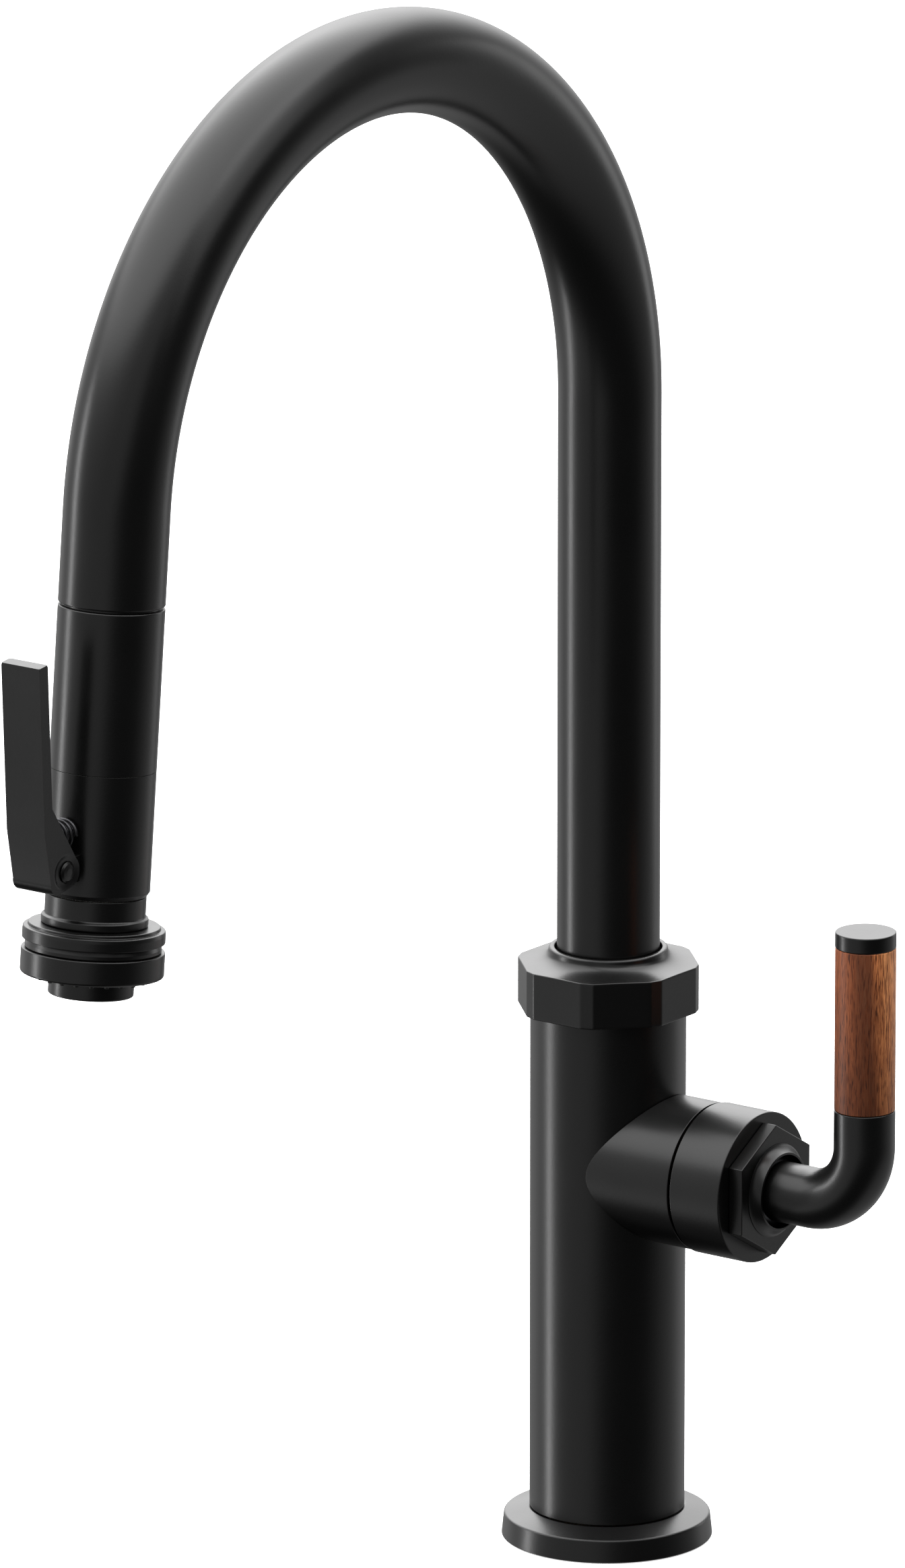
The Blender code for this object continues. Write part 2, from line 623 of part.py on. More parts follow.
def make_handle():
    pivot = make_frame("ball_pivot", (BALL_X, 0, HANDLE_Z))
    face = 57.0 - BALL_X
    start = math.degrees(math.asin(face / BALL_R))
    neck = math.degrees(math.acos(2.0 / BALL_R))
    spigot = 62.5 - BALL_X
    ball = [(0.0, spigot), (STUD_R, spigot), (STUD_R, face)]
    ball += arc((0.0, 0.0), BALL_R, start, -neck, 9)
    tip = arc((0.0, STEM_TIP_X - BALL_X), 2.9, 43.6, -90.0, 6)
    ball += tip[:-1] + [(0.0, tip[-1][1])]
    turned("lever_ball", ball, pivot, "brass", 20, "X")

    bend = arc((GRIP_X - ARM_BEND_R, ARM_BEND_R), ARM_BEND_R, -90.0, 0.0, 9)
    route = [(ARM_START, 0.0)] + bend + [(GRIP_X, GRIP_LOW_Z - HANDLE_Z - GAP)]
    points = [(x - BALL_X, 0.0, z) for x, z in route]
    arm = swept("handle_arm", points, ARM_R, pivot, "black_coated_metal", 6)
    drill(arm, "arm_spigot_bore", rod(STUD_BORE_R, 0.0, 63.0 - BALL_X), pivot, "X", steps=12)
    top = (GRIP_X - BALL_X, 0.0, -HANDLE_Z)
    drill(arm, "arm_stud_bore", rod(STUD_BORE_R, STUD_LOW_Z - GAP, 150.0), pivot, at=top, steps=12)
    turned("grip_stud", rod(STUD_R, STUD_LOW_Z, STUD_TOP_Z), pivot, "steel", 12, at=top)
    grip = ring(GRIP_R, STUD_BORE_R, GRIP_LOW_Z, GRIP_TOP_Z)
    turned("wood_grip", grip, pivot, "walnut", 20, at=top)
    cap = rod(GRIP_R + CAP_EXTRA_R, GRIP_TOP_Z + GAP, CAP_TOP_Z)
    end = turned("grip_cap", cap, pivot, "black_coated_metal", 20, at=top)
    drill(end, "cap_stud_bore", rod(STUD_BORE_R, 170.0, STUD_TOP_Z + GAP), pivot, at=top, steps=12)


clear_scene()
PARTS = new_collection("pull_down_kitchen_faucet")
CUTTERS = new_collection("cutters")
make_base()
make_pipes()
make_collar_nut()
make_swivel()
make_valve()
make_moving_disc()
make_spout()
make_head()
make_spray_lever()
make_hub()
make_handle()
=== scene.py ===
"""Looks of a pull-down kitchen faucet: satin black metal with a walnut grip."""

import json
import math

import bmesh
import bpy
import numpy as np
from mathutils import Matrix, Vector


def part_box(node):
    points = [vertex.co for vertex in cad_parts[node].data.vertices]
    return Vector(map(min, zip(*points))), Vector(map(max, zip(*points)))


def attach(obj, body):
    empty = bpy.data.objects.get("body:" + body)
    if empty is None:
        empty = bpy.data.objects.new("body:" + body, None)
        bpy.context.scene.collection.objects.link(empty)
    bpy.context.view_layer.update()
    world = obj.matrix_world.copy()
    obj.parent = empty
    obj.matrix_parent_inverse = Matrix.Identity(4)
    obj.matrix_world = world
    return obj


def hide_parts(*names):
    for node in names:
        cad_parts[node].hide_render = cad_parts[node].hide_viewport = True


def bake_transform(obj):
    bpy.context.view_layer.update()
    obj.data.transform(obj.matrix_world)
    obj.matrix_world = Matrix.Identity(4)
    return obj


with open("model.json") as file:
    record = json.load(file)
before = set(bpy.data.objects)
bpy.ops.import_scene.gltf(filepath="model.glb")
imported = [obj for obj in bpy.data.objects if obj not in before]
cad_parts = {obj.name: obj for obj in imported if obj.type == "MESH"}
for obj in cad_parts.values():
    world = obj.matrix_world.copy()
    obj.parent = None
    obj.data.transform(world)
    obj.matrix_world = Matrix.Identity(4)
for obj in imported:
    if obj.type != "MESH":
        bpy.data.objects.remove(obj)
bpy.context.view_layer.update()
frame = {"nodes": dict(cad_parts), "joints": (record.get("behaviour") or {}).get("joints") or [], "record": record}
NODES = frame["nodes"]
JOINTS = {joint["name"]: joint for joint in frame["joints"]}
MM = 0.001
ROUND = 192                 # columns of a turned surface
FLAT_STEPS = 1440           # columns of a prism, enough to keep its corners crisp
VALVE_BORE = 14.6 * MM
TUBE_BORE = 12.4 * MM
TUBE_TAIL = 24.5 * MM       # the spout's straight end below its arch
HOSE_R = 5.5 * MM
HOSE_TAIL = 31.7 * MM       # the hose below the arch, down to its connector
NUT_BORE = 12.3 * MM
LEVER_SPAN = 12.5 * MM
LEVER_SLOT = 9.4 * MM
GRIP_BORE = 4.2 * MM


# ------------------------------------------------------------ colours and nodes

def colour(code):
    """An sRGB hex code as a linear RGBA colour."""
    parts = [int(code[i:i + 2], 16) / 255 for i in (1, 3, 5)]
    linear = [p / 12.92 if p <= 0.04045 else ((p + 0.055) / 1.055) ** 2.4 for p in parts]
    return (*linear, 1.0)


def add_node(tree, kind, inputs=None, **settings):
    """Add a node; an input is a value, or an output of another node to link from."""
    made = tree.nodes.new(kind)
    for key, value in settings.items():
        setattr(made, key, value)
    for key, value in (inputs or {}).items():
        if isinstance(value, bpy.types.NodeSocket):
            tree.links.new(value, made.inputs[key])
        else:
            made.inputs[key].default_value = value
    return made


def new_material(name, base, roughness, metallic=0.0, **sockets):
    """A material with a Principled shader, and its tree, shader and Object coordinates."""
    material = bpy.data.materials.new(name)
    material.use_nodes = True
    tree = material.node_tree
    shader = tree.nodes["Principled BSDF"]
    shader.inputs["Base Color"].default_value = colour(base)
    shader.inputs["Roughness"].default_value = roughness
    shader.inputs["Metallic"].default_value = metallic
    for key, value in sockets.items():
        shader.inputs[key.replace("_", " ")].default_value = value
    place = add_node(tree, "ShaderNodeTexCoord").outputs["Object"]
    return material, tree, shader, place


def vary(tree, source, low, high):
    """Spread a 0 to 1 pattern between two values."""
    spread = add_node(tree, "ShaderNodeMapRange", {"Value": source, "To Min": low, "To Max": high})
    return spread.outputs["Result"]


def blend_colours(tree, factor, first, second):
    """Mix two colours, each a hex code or an output of another node."""
    mix = add_node(tree, "ShaderNodeMix", data_type="RGBA")
    tree.links.new(factor, mix.inputs["Factor"])
    for socket, value in ((mix.inputs[6], first), (mix.inputs[7], second)):
        if isinstance(value, str):
            socket.default_value = colour(value)
        else:
            tree.links.new(value, socket)
    return mix.outputs[2]


def bump(tree, shader, height, depth):
    """Raise the surface by a pattern, up to a depth in metres."""
    raised = add_node(tree, "ShaderNodeBump", {"Height": height, "Distance": depth})
    tree.links.new(raised.outputs["Normal"], shader.inputs["Normal"])


# ------------------------------------------------------------------ materials

def satin_black():
    """Powder-coated brass: a fine orange-peel skin that spreads each reflection softly."""
    material, tree, shader, place = new_material("satin_black_powder_coat", "#040404", 0.3)
    peel = add_node(tree, "ShaderNodeTexNoise", {"Vector": place, "Scale": 1.0 / (0.9 * MM),
                                                 "Detail": 3.0, "Roughness": 0.6})
    wear = add_node(tree, "ShaderNodeTexNoise", {"Vector": place, "Scale": 1.0 / (22 * MM),
                                                 "Detail": 4.0})
    rough = vary(tree, wear.outputs["Fac"], 0.25, 0.35)
    tree.links.new(rough, shader.inputs["Roughness"])
    tint = blend_colours(tree, peel.outputs["Fac"], "#030303", "#070707")
    tree.links.new(tint, shader.inputs["Base Color"])
    bump(tree, shader, peel.outputs["Fac"], 0.012 * MM)
    return material


def walnut():
    """Oiled walnut under fine straight fibres: a dark streak down the middle, and painted light that turns the
    wood tan on its side towards the lights and lighter towards the cap.
    """
    material, tree, shader, place = new_material("oiled_walnut", "#96532f", 0.46)
    shader.inputs["Specular IOR Level"].default_value = 0.25
    low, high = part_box("wood_grip")
    centre, radius = (low + high) / 2, (high.y - low.y) / 2
    centred = add_node(tree, "ShaderNodeVectorMath", {0: place, 1: tuple(-centre)}).outputs[0]
    straight = add_node(tree, "ShaderNodeMapping", {"Vector": centred, "Scale": (1, 1, 0.05)})
    # Painted light: the figure runs across the grip towards its lit side (+X, +Y); the dark streak in its middle
    # is the wood's own.
    across = add_node(tree, "ShaderNodeVectorMath",
                      {0: centred, 1: tuple(v / radius for v in (0.8, 0.6, 0.05))},
                      operation="DOT_PRODUCT").outputs["Value"]
    wander = add_node(tree, "ShaderNodeTexNoise", {"Vector": straight.outputs[0],
                                                   "Scale": 1.0 / (3.2 * MM), "Detail": 4.0})
    shift = vary(tree, wander.outputs["Fac"], -0.55, 0.55)
    figure_and_lit_side = add_node(tree, "ShaderNodeMath", {0: across, 1: shift}, operation="ADD").outputs[0]
    spread = add_node(tree, "ShaderNodeMapRange", {"Value": figure_and_lit_side, "From Min": -1.0})
    ramp = add_node(tree, "ShaderNodeValToRGB", {"Fac": spread.outputs["Result"]})
    stops = ramp.color_ramp.elements
    # The ramp runs from the far side to the lit side; its tan and orange stops from 0.72 up are painted light.
    stops[0].position, stops[0].color = 0.0, colour("#8c5030")
    stops[1].position, stops[1].color = 0.95, colour("#e09a64")
    for position, code in ((0.2, "#945534"), (0.38, "#784429"), (0.52, "#5c3a28"),
                           (0.6, "#6c432d"), (0.72, "#c0784a"), (0.85, "#d58a55")):
        stop = stops.new(position)
        stop.color = colour(code)
    fibre = add_node(tree, "ShaderNodeMapping", {"Vector": centred, "Scale": (1, 1, 0.06)})
    fine = add_node(tree, "ShaderNodeTexNoise", {"Vector": fibre.outputs[0],
                                                 "Scale": 1.0 / (0.4 * MM), "Detail": 4.0,
                                                 "Roughness": 0.75})
    dark = blend_colours(tree, vary(tree, fine.outputs["Fac"], -0.75, 1.6), "#5a2c17",
                         ramp.outputs["Color"])
    pores = add_node(tree, "ShaderNodeTexNoise", {"Vector": fibre.outputs[0],
                                                  "Scale": 1.0 / (0.24 * MM), "Detail": 1.0})
    # Pores are 0.24 mm wide; only their darkest middles show as short black dashes.
    open_pores = add_node(tree, "ShaderNodeMapRange", {"Value": pores.outputs["Fac"],
                                                       "From Min": 0.56, "From Max": 0.66})
    dark = blend_colours(tree, open_pores.outputs["Result"], dark, "#3c1e12")
    # Painted light: the colour is scaled up steadily towards the cap, standing in for the light and sheen on the
    # upper grip, so the wood is darker towards the bottom.
    height = add_node(tree, "ShaderNodeSeparateXYZ", {"Vector": centred}).outputs["Z"]
    painted_top_light = add_node(tree, "ShaderNodeMapRange", {"Value": height, "From Min": -0.022,
                                                 "From Max": 0.022, "To Min": 0.92,
                                                 "To Max": 1.8}).outputs["Result"]
    top_lit_colour = add_node(tree, "ShaderNodeVectorMath", {0: dark, "Scale": painted_top_light}, operation="SCALE")
    tree.links.new(top_lit_colour.outputs[0], shader.inputs["Base Color"])
    tree.links.new(vary(tree, fine.outputs["Fac"], 0.36, 0.56), shader.inputs["Roughness"])
    bump(tree, shader, fine.outputs["Fac"], 0.03 * MM)
    return material


def metal(name, base, roughness, grain=1.2):
    """Machined or drawn metal: fine tool marks that vary its gloss."""
    material, tree, shader, place = new_material(name, base, roughness, 1.0)
    marks = add_node(tree, "ShaderNodeTexNoise", {"Vector": place, "Scale": 1.0 / (grain * MM),
                                                  "Detail": 2.0})
    rough = vary(tree, marks.outputs["Fac"], roughness - 0.08, roughness + 0.1)
    tree.links.new(rough, shader.inputs["Roughness"])
    bump(tree, shader, marks.outputs["Fac"], 0.01 * MM)
    return material


def moulding(name, base, shade, roughness, grain=0.6):
    """A moulded part: a faint cloudy tone and a fine mould texture."""
    material, tree, shader, place = new_material(name, base, roughness)
    cloud = add_node(tree, "ShaderNodeTexNoise", {"Vector": place, "Scale": 1.0 / (9 * MM)})
    skin = add_node(tree, "ShaderNodeTexNoise", {"Vector": place, "Scale": 1.0 / (grain * MM),
                                                 "Detail": 2.0})
    tint = blend_colours(tree, cloud.outputs["Fac"], base, shade)
    tree.links.new(tint, shader.inputs["Base Color"])
    bump(tree, shader, skin.outputs["Fac"], 0.02 * MM)
    return material


def braid():
    """Nylon braid over the hose: two crossing sets of 1.6 mm bands, drawn coarse to show."""
    material, tree, shader, place = new_material("braided_nylon", "#2b2b2d", 0.6)
    layers = []
    for tilt in (0.9, -0.9):
        turned = add_node(tree, "ShaderNodeMapping", {"Vector": place, "Rotation": (tilt, 0, 0)})
        bands = add_node(tree, "ShaderNodeTexWave", {"Vector": turned.outputs[0],
                                                     "Scale": 0.32 / (1.6 * MM)},
                         bands_direction="Z")
        layers.append(bands.outputs["Fac"])
    crossed = add_node(tree, "ShaderNodeMath", {0: layers[0], 1: layers[1]}, operation="MAXIMUM")
    tint = blend_colours(tree, crossed.outputs[0], "#141416", "#4a4a4e")
    tree.links.new(tint, shader.inputs["Base Color"])
    bump(tree, shader, crossed.outputs[0], 0.25 * MM)
    return material


# ------------------------------------------------------------------- outlines

def rounded(points, fillet=0.3 * MM, steps=6):
    """Round each corner of a profile by an arc that touches its two sides.

    A point is (radius, height) or (radius, height, its own fillet). A profile that starts
    on the axis is open, any other closed. A support point just outside each arc keeps the
    flats flat when they are shaded smooth.
    """
    flat = np.array([p[:2] for p in points], float)
    sizes = [p[2] if len(p) > 2 else fillet for p in points]
    count = len(flat)
    ring = flat[0, 0] > 1e-9
    out = []
    for i in range(count):
        if not ring and i in (0, count - 1):
            out.append(flat[i])
            continue
        before, here, after = flat[i - 1], flat[i], flat[(i + 1) % count]
        into, away = here - before, after - here
        length_in, length_out = np.linalg.norm(into), np.linalg.norm(away)
        into, away = into / length_in, away / length_out
        turn = math.acos(max(-1.0, min(1.0, float(into @ away))))
        if turn < 0.02 or sizes[i] <= 0:
            out.append(here)
            continue
        reach = min(sizes[i] * math.tan(turn / 2), 0.42 * length_in, 0.42 * length_out)
        radius = reach / math.tan(turn / 2)
        side = 1.0 if into[0] * away[1] - into[1] * away[0] > 0 else -1.0
        normal = side * np.array([-into[1], into[0]])
        centre = here - into * reach + normal * radius
        angles = np.linspace(0.0, turn, steps + 1)[:, None]
        arc = centre - normal * radius * np.cos(angles) + into * radius * np.sin(angles)
        margin = min(0.25 * reach, 0.05 * min(length_in, length_out))
        out.append(here - into * (reach + margin))
        out.extend(arc)
        out.append(here + away * (reach + margin))
    return np.array(out)


def dense(profile, step):
    """Add points so that no side of a profile is longer than a step."""
    ring = profile[0, 0] > 1e-9
    ends = np.roll(profile, -1, axis=0) if ring else profile[1:]
    out = []
    for start, end in zip(profile, ends):
        pieces = max(1, int(np.ceil(np.linalg.norm(end - start) / step)))
        out.append(start + (end - start) * np.linspace(0, 1, pieces, endpoint=False)[:, None])
    if not ring:
        out.append(profile[-1:])
    return np.vstack(out)


# ------------------------------------------------------------------- surfaces

def line(origin, direction):
    """A straight path: for a distance s it gives the place, and two normals to the path."""
    origin, along = np.array(origin, float), np.array(direction, float)
    along = along / np.linalg.norm(along)
    across = np.cross(along, (1.0, 0.0, 0.0) if abs(along[0]) < 0.9 else (0.0, 1.0, 0.0))
    across = across / np.linalg.norm(across)
    other = np.cross(along, across)

    def at(s):
        place = origin + s[..., None] * along
        return place, across + 0 * place, other + 0 * place
    return at


def bent(origin, along, towards, straight, radius, sweep):
    """A path that runs straight, then round an arc towards a side, then straight on."""
    origin, along, towards = (np.array(v, float) for v in (origin, along, towards))
    flat = np.cross(along, towards)

    def at(s):
        angle = np.clip((s - straight) / radius, 0.0, sweep)[..., None]
        rest = (s - np.clip(s, straight, straight + radius * sweep))[..., None]
        heading = along * np.cos(angle) + towards * np.sin(angle)
        inward = towards * np.cos(angle) - along * np.sin(angle)
        place = origin + along * (straight + radius * np.sin(angle))
        place = place + towards * radius * (1 - np.cos(angle)) + heading * rest
        return place, inward, flat + 0 * place
    return at


def carried(radii, stations, path, steps=ROUND):
    """Vertices of a profile carried round a path.

    Point (i, j) is path(s) + r (cos a_j n(s) + sin a_j m(s)), for the profile's i-th
    radius r and station s; either may also change with the angle a_j.
    """
    angles = np.linspace(0, 2 * np.pi, steps, endpoint=False)
    r = np.broadcast_to(radii, (len(radii), steps))[..., None]
    s = np.broadcast_to(stations, (len(stations), steps))
    place, normal, other = path(s)
    a = angles[None, :, None]
    return place + r * (np.cos(a) * normal + np.sin(a) * other)


def grid_faces(rows, columns, ring):
    """Quads of a grid closed round its columns, and round its rows if it is a ring."""
    count = rows if ring else rows - 1
    i, j = np.meshgrid(np.arange(count), np.arange(columns), indexing="ij")
    i, j = i.ravel(), j.ravel()
    below, beside = (i + 1) % rows, (j + 1) % columns
    return np.stack([i * columns + j, below * columns + j,
                     below * columns + beside, i * columns + beside], axis=1)


def volume(verts, faces):
    """Signed volume inside a closed surface, from the tetrahedra to the origin."""
    total = 0.0
    for k in range(1, faces.shape[1] - 1):
        a, b, c = verts[faces[:, 0]], verts[faces[:, k]], verts[faces[:, k + 1]]
        total += np.einsum("ij,ij->i", a, np.cross(b, c)).sum() / 6
    return total


def make_piece(name, verts, quads, material, tris=None):
    """A mesh object from whole arrays, its faces turned outwards and shaded smooth."""
    centred = verts - verts.mean(axis=0)
    signed = volume(centred, quads) + (0 if tris is None else volume(centred, tris))
    groups = [quads] if tris is None else [quads, tris]
    if signed < 0:
        groups = [group[:, ::-1] for group in groups]
    faces = [face for group in groups for face in group.tolist()]
    mesh = bpy.data.meshes.new(name)
    mesh.from_pydata(verts.tolist(), [], faces)
    mesh.polygons.foreach_set("use_smooth", np.ones(len(mesh.polygons), bool))
    mesh.materials.append(material)
    mesh.update()
    piece = bpy.data.objects.new(name, mesh)
    bpy.context.scene.collection.objects.link(piece)
    return piece


def turned(name, profile, path, material, steps=ROUND):
    """A profile of (radius, distance) points carried once round a path."""
    if profile[0, 0] > 1e-9:
        verts = carried(profile[:, :1], profile[:, 1:], path, steps).reshape(-1, 3)
        return make_piece(name, verts, grid_faces(len(profile), steps, True), material)
    inner = profile[1:-1]
    verts = carried(inner[:, :1], inner[:, 1:], path, steps).reshape(-1, 3)
    poles = path(profile[[0, -1], 1])[0]
    verts = np.vstack([verts, poles])
    j = np.arange(steps)
    beside = (j + 1) % steps
    first, last = len(verts) - 2, len(verts) - 1
    base = (len(inner) - 1) * steps
    top = np.stack([np.full(steps, first), j, beside], axis=1)
    bottom = np.stack([np.full(steps, last), base + beside, base + j], axis=1)
    quads = grid_faces(len(inner), steps, False)
    return make_piece(name, verts, quads, material, np.vstack([top, bottom]))


def cut(piece, cutter):
    """Take a cutter out of a piece, keep the result as its mesh, and drop the cutter."""
    modifier = piece.modifiers.new("cut", "BOOLEAN")
    modifier.operation = "DIFFERENCE"
    modifier.object = cutter
    apply_modifiers(piece)
    bpy.data.objects.remove(cutter, do_unlink=True)


def apply_modifiers(piece):
    """Keep the evaluated shape as the mesh, smooth except across edges over 38 degrees."""
    bpy.context.view_layer.update()
    evaluated = piece.evaluated_get(bpy.context.evaluated_depsgraph_get())
    mesh = bpy.data.meshes.new_from_object(evaluated)
    piece.modifiers.clear()
    piece.data = mesh
    mesh.shade_smooth()
    mesh.set_sharp_from_angle(angle=math.radians(38))


def finish(piece, body, slot, *nodes):
    """Put a piece on its body, in the CAD nodes' place; the slot is not used."""
    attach(piece, body)
    if nodes:
        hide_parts(*nodes)


# ---------------------------------------------------------- sizes from the frame

def node_points(name):
    """Vertices of a CAD node as an array of places in metres."""
    mesh = NODES[name].data
    flat = np.empty(len(mesh.vertices) * 3, np.float32)
    mesh.vertices.foreach_get("co", flat)
    return flat.reshape(-1, 3).astype(float)


def extent(name, origin, direction):
    """(start, end, inner radius, outer radius) of a turned CAD node about an axis."""
    along = np.array(direction, float)
    offset = node_points(name) - np.array(origin, float)
    s = offset @ along
    r = np.linalg.norm(offset - s[:, None] * along, axis=1)
    return s.min(), s.max(), r.min(), r.max()


UP = (0.0, 0.0, 1.0)
OUT = (1.0, 0.0, 0.0)
GROUND = (0.0, 0.0, 0.0)
VALVE = (0.0, 0.0, JOINTS["hub_turn"]["pos_m"][2])
BALL = JOINTS["handle_tilt"]["pos_m"]
PIN = np.array(JOINTS["lever_press"]["pos_m"])
DOWN_HEAD = np.array(JOINTS["head_pulldown"]["axis"])
OUT_HEAD = np.array([0.0, DOWN_HEAD[2], -DOWN_HEAD[1]])
LEAN = math.asin(-DOWN_HEAD[1])
TUBE_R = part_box("spout_tube")[1].x
PLUMB = line(GROUND, UP)
LEVEL = line(VALVE, OUT)


def spout_shape():
    """Radius and springing height of the arc, from the tube's box and its lean."""
    low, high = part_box("spout_tube")
    tip = node_points("dock_sleeve").mean(axis=0)
    reach = -tip[1]
    drop = high.z - TUBE_R - tip[2]
    # reach = R (1 + cos lean) + L sin lean, drop = R (1 - sin lean) + L cos lean
    sine, cosine = math.sin(LEAN), math.cos(LEAN)
    rows = np.array([[1 + cosine, sine], [1 - sine, cosine]])
    radius, _ = np.linalg.solve(rows, [reach, drop])
    return radius, high.z - TUBE_R - radius


ARC_R, ARC_Z = spout_shape()
ARC_SWEEP = math.pi - LEAN
ARCH = bent(GROUND, UP, (0.0, -1.0, 0.0), ARC_Z, ARC_R, ARC_SWEEP)
ARCH_END_S = ARC_Z + ARC_R * ARC_SWEEP
ARC_END = ARCH(np.array([ARCH_END_S]))[0][0]
HEAD = line(ARC_END, DOWN_HEAD)


def upright(name):
    """Extent of a node about the column's axis."""
    return extent(name, GROUND, UP)


def sideways(name):
    """Extent of a node about the valve's level axis."""
    return extent(name, VALVE, OUT)


def on_head(name):
    """Extent of a node about the spray head's axis, from the end of the arch."""
    return extent(name, ARC_END, DOWN_HEAD)


def column_radius():
    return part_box("body_column")[1].x


# ------------------------------------------------------------------ base pieces

def make_flange(black):
    """Turned ring: a gently sloped top, an edge that widens downwards, a recess below."""
    low, high, inner, outer = upright("base_flange")
    edge = outer - 0.65 * MM
    collar = column_radius() + 0.4 * MM
    profile = [(inner, high - 0.1 * MM), (collar, high), (edge, low + 6.2 * MM, 0.7 * MM)]
    profile += [(outer, low, 0.25 * MM), (outer - 2.4 * MM, low)]
    profile += [(outer - 2.4 * MM, low + 1.9 * MM), (inner, low + 1.9 * MM)]
    piece = turned("flange", rounded(profile), PLUMB, black)
    finish(piece, "base", "black_coated_metal", "base_flange")


def make_column(black):
    """Turned tube with a round hole in its side that opens into the boss."""
    low, high, inner, outer = upright("body_column")
    profile = [(outer, high), (outer, low, 0.15 * MM), (inner, low), (inner, high)]
    piece = turned("column", dense(rounded(profile), 4 * MM), PLUMB, black)
    hole = turned("side_hole", rounded([(0, 10 * MM), (VALVE_BORE, 10 * MM),
                                        (VALVE_BORE, 30 * MM), (0, 30 * MM)], 0), LEVEL, black, 64)
    cut(piece, hole)
    finish(piece, "base", "black_coated_metal", "body_column")


def make_boss(black):
    """A tube whose inner end follows the column: its start is sqrt(R^2 - y^2) at y."""
    _, end, _, outer = sideways("valve_boss")
    end -= 0.15 * MM
    column = column_radius() + 0.42 * MM
    depth = end - column
    shape = rounded([(VALVE_BORE, 0.0, 0.05 * MM), (outer, 0.0, 0.05 * MM),
                     (outer, depth, 0.12 * MM), (VALVE_BORE, depth, 0.12 * MM)])
    angles = np.linspace(0, 2 * np.pi, ROUND * 2, endpoint=False)
    _, normal, other = LEVEL(np.zeros(1))
    sideway = np.cos(angles) * normal[0, 1] + np.sin(angles) * other[0, 1]
    r = np.broadcast_to(shape[:, :1], (len(shape), ROUND * 2))
    start = np.sqrt(column ** 2 - (r * sideway) ** 2)
    share = shape[:, 1:] / depth
    verts = carried(r, start + share * (end - start), LEVEL, ROUND * 2).reshape(-1, 3)
    piece = make_piece("boss", verts, grid_faces(len(shape), ROUND * 2, True), black)
    finish(piece, "base", "black_coated_metal", "valve_boss")


def many_sided(angles, planes, power=500.0):
    """Radius of a prism's outline at an angle, for (angle, distance) planes.

    The smallest of distance / cos(angle - plane), taken as a high-power mean so that the
    corners are barely rounded.
    """
    total = np.zeros_like(angles)
    for middle, distance in planes:
        share = np.maximum(np.cos(angles - middle), 0.02) / distance
        total += (share * 0.02) ** power
    return 0.02 / total ** (1.0 / power)


def prism(name, rows, path, material):
    """Rows of (radius, station) carried round a path; either may change with the angle."""
    radii = np.array([np.broadcast_to(r, FLAT_STEPS) for r, _ in rows])
    stations = np.array([np.broadcast_to(s, FLAT_STEPS) for _, s in rows])
    verts = carried(radii, stations, path, FLAT_STEPS).reshape(-1, 3)
    return make_piece(name, verts, grid_faces(len(rows), FLAT_STEPS, True), material)


def make_collar(black):
    """An octagon with its corners taken off, under a cove of revolution up to a round lip."""
    low, high, inner, _ = upright("collar_nut")
    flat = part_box("collar_nut")[1].x
    corner = flat * 1.0515
    edge_z = low + 12.9 * MM
    lip = 16.25 * MM
    planes = [(math.radians(45 * k), flat) for k in range(8)]
    planes += [(math.radians(45 * k + 22.5), corner) for k in range(8)]
    angles = np.linspace(0, 2 * np.pi, FLAT_STEPS, endpoint=False)
    outline = many_sided(angles, planes)

    def cove(r):
        """Height of the top at a radius: a quarter hollow from the lip to the edge."""
        share = np.clip((r - lip) / (flat * 1.05 - lip), 0, 1)
        return edge_z + (high - 1.1 * MM - edge_z) * (1 - np.sqrt(1 - (1 - share) ** 2))

    size, rim, mouth = 0.3 * MM, 0.8 * MM, 0.4 * MM
    bevel = np.linspace(0, np.pi / 2, 5)
    top = cove(outline - size)
    rows = [(inner, low), (inner + 0.2 * MM, low)]
    rows += [(outline - size + size * np.sin(a), low + size - size * np.cos(a)) for a in bevel]
    rows += [(outline, low + (top - low) * share) for share in (0.06, 0.94)]
    rows += [(outline - size + size * np.cos(a), top - size + size * np.sin(a)) for a in bevel]
    slopes = [(outline - size) * (1 - share) + lip * share for share in np.linspace(0.02, 1, 24)]
    rows += [(r, cove(r)) for r in slopes]
    rows += [(lip - rim + rim * np.cos(a), high - rim + rim * np.sin(a))
             for a in np.linspace(0, np.pi / 2, 6)]
    rows += [(inner + mouth - mouth * np.sin(a), high - mouth + mouth * np.cos(a)) for a in bevel]
    piece = prism("collar", rows, PLUMB, black)
    finish(piece, "base", "black_coated_metal", "collar_nut")


# ----------------------------------------------------------------- spout pieces

def make_tube(black):
    """A tube's wall carried up the riser, round the arch and down its straight end."""
    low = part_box("spout_tube")[0].z
    end = ARCH_END_S + TUBE_TAIL
    profile = [(TUBE_R, low, 0.3 * MM), (TUBE_R, end, 0.4 * MM)]
    profile += [(TUBE_BORE, end, 0.4 * MM), (TUBE_BORE, low, 0.3 * MM)]
    piece = turned("spout", dense(rounded(profile), 2.4 * MM), ARCH, black, 128)
    finish(piece, "spout", "black_coated_metal", "spout_tube")


def make_hose(nylon):
    """The hose in two lengths: one stays in the arch on the spout; the end length, which the real head draws out,
    is put on no body.
    """
    split = ARCH_END_S - 6 * MM
    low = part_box("pull_down_hose")[0].z
    lengths = (("hose_in_arch", low, split, 4 * MM),
               ("hose_end", split, ARCH_END_S + HOSE_TAIL, 0.6 * MM))
    for name, start, end, step in lengths:
        profile = np.array([(0, start), (HOSE_R, start), (HOSE_R, end), (0, end)])
        piece = turned(name, dense(rounded(profile, 0.4 * MM), step), ARCH, nylon, 48)
        if name == "hose_in_arch":
            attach(piece, "spout")
        else:
            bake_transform(piece)
        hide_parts("pull_down_hose")


# ------------------------------------------------------------------ spray head

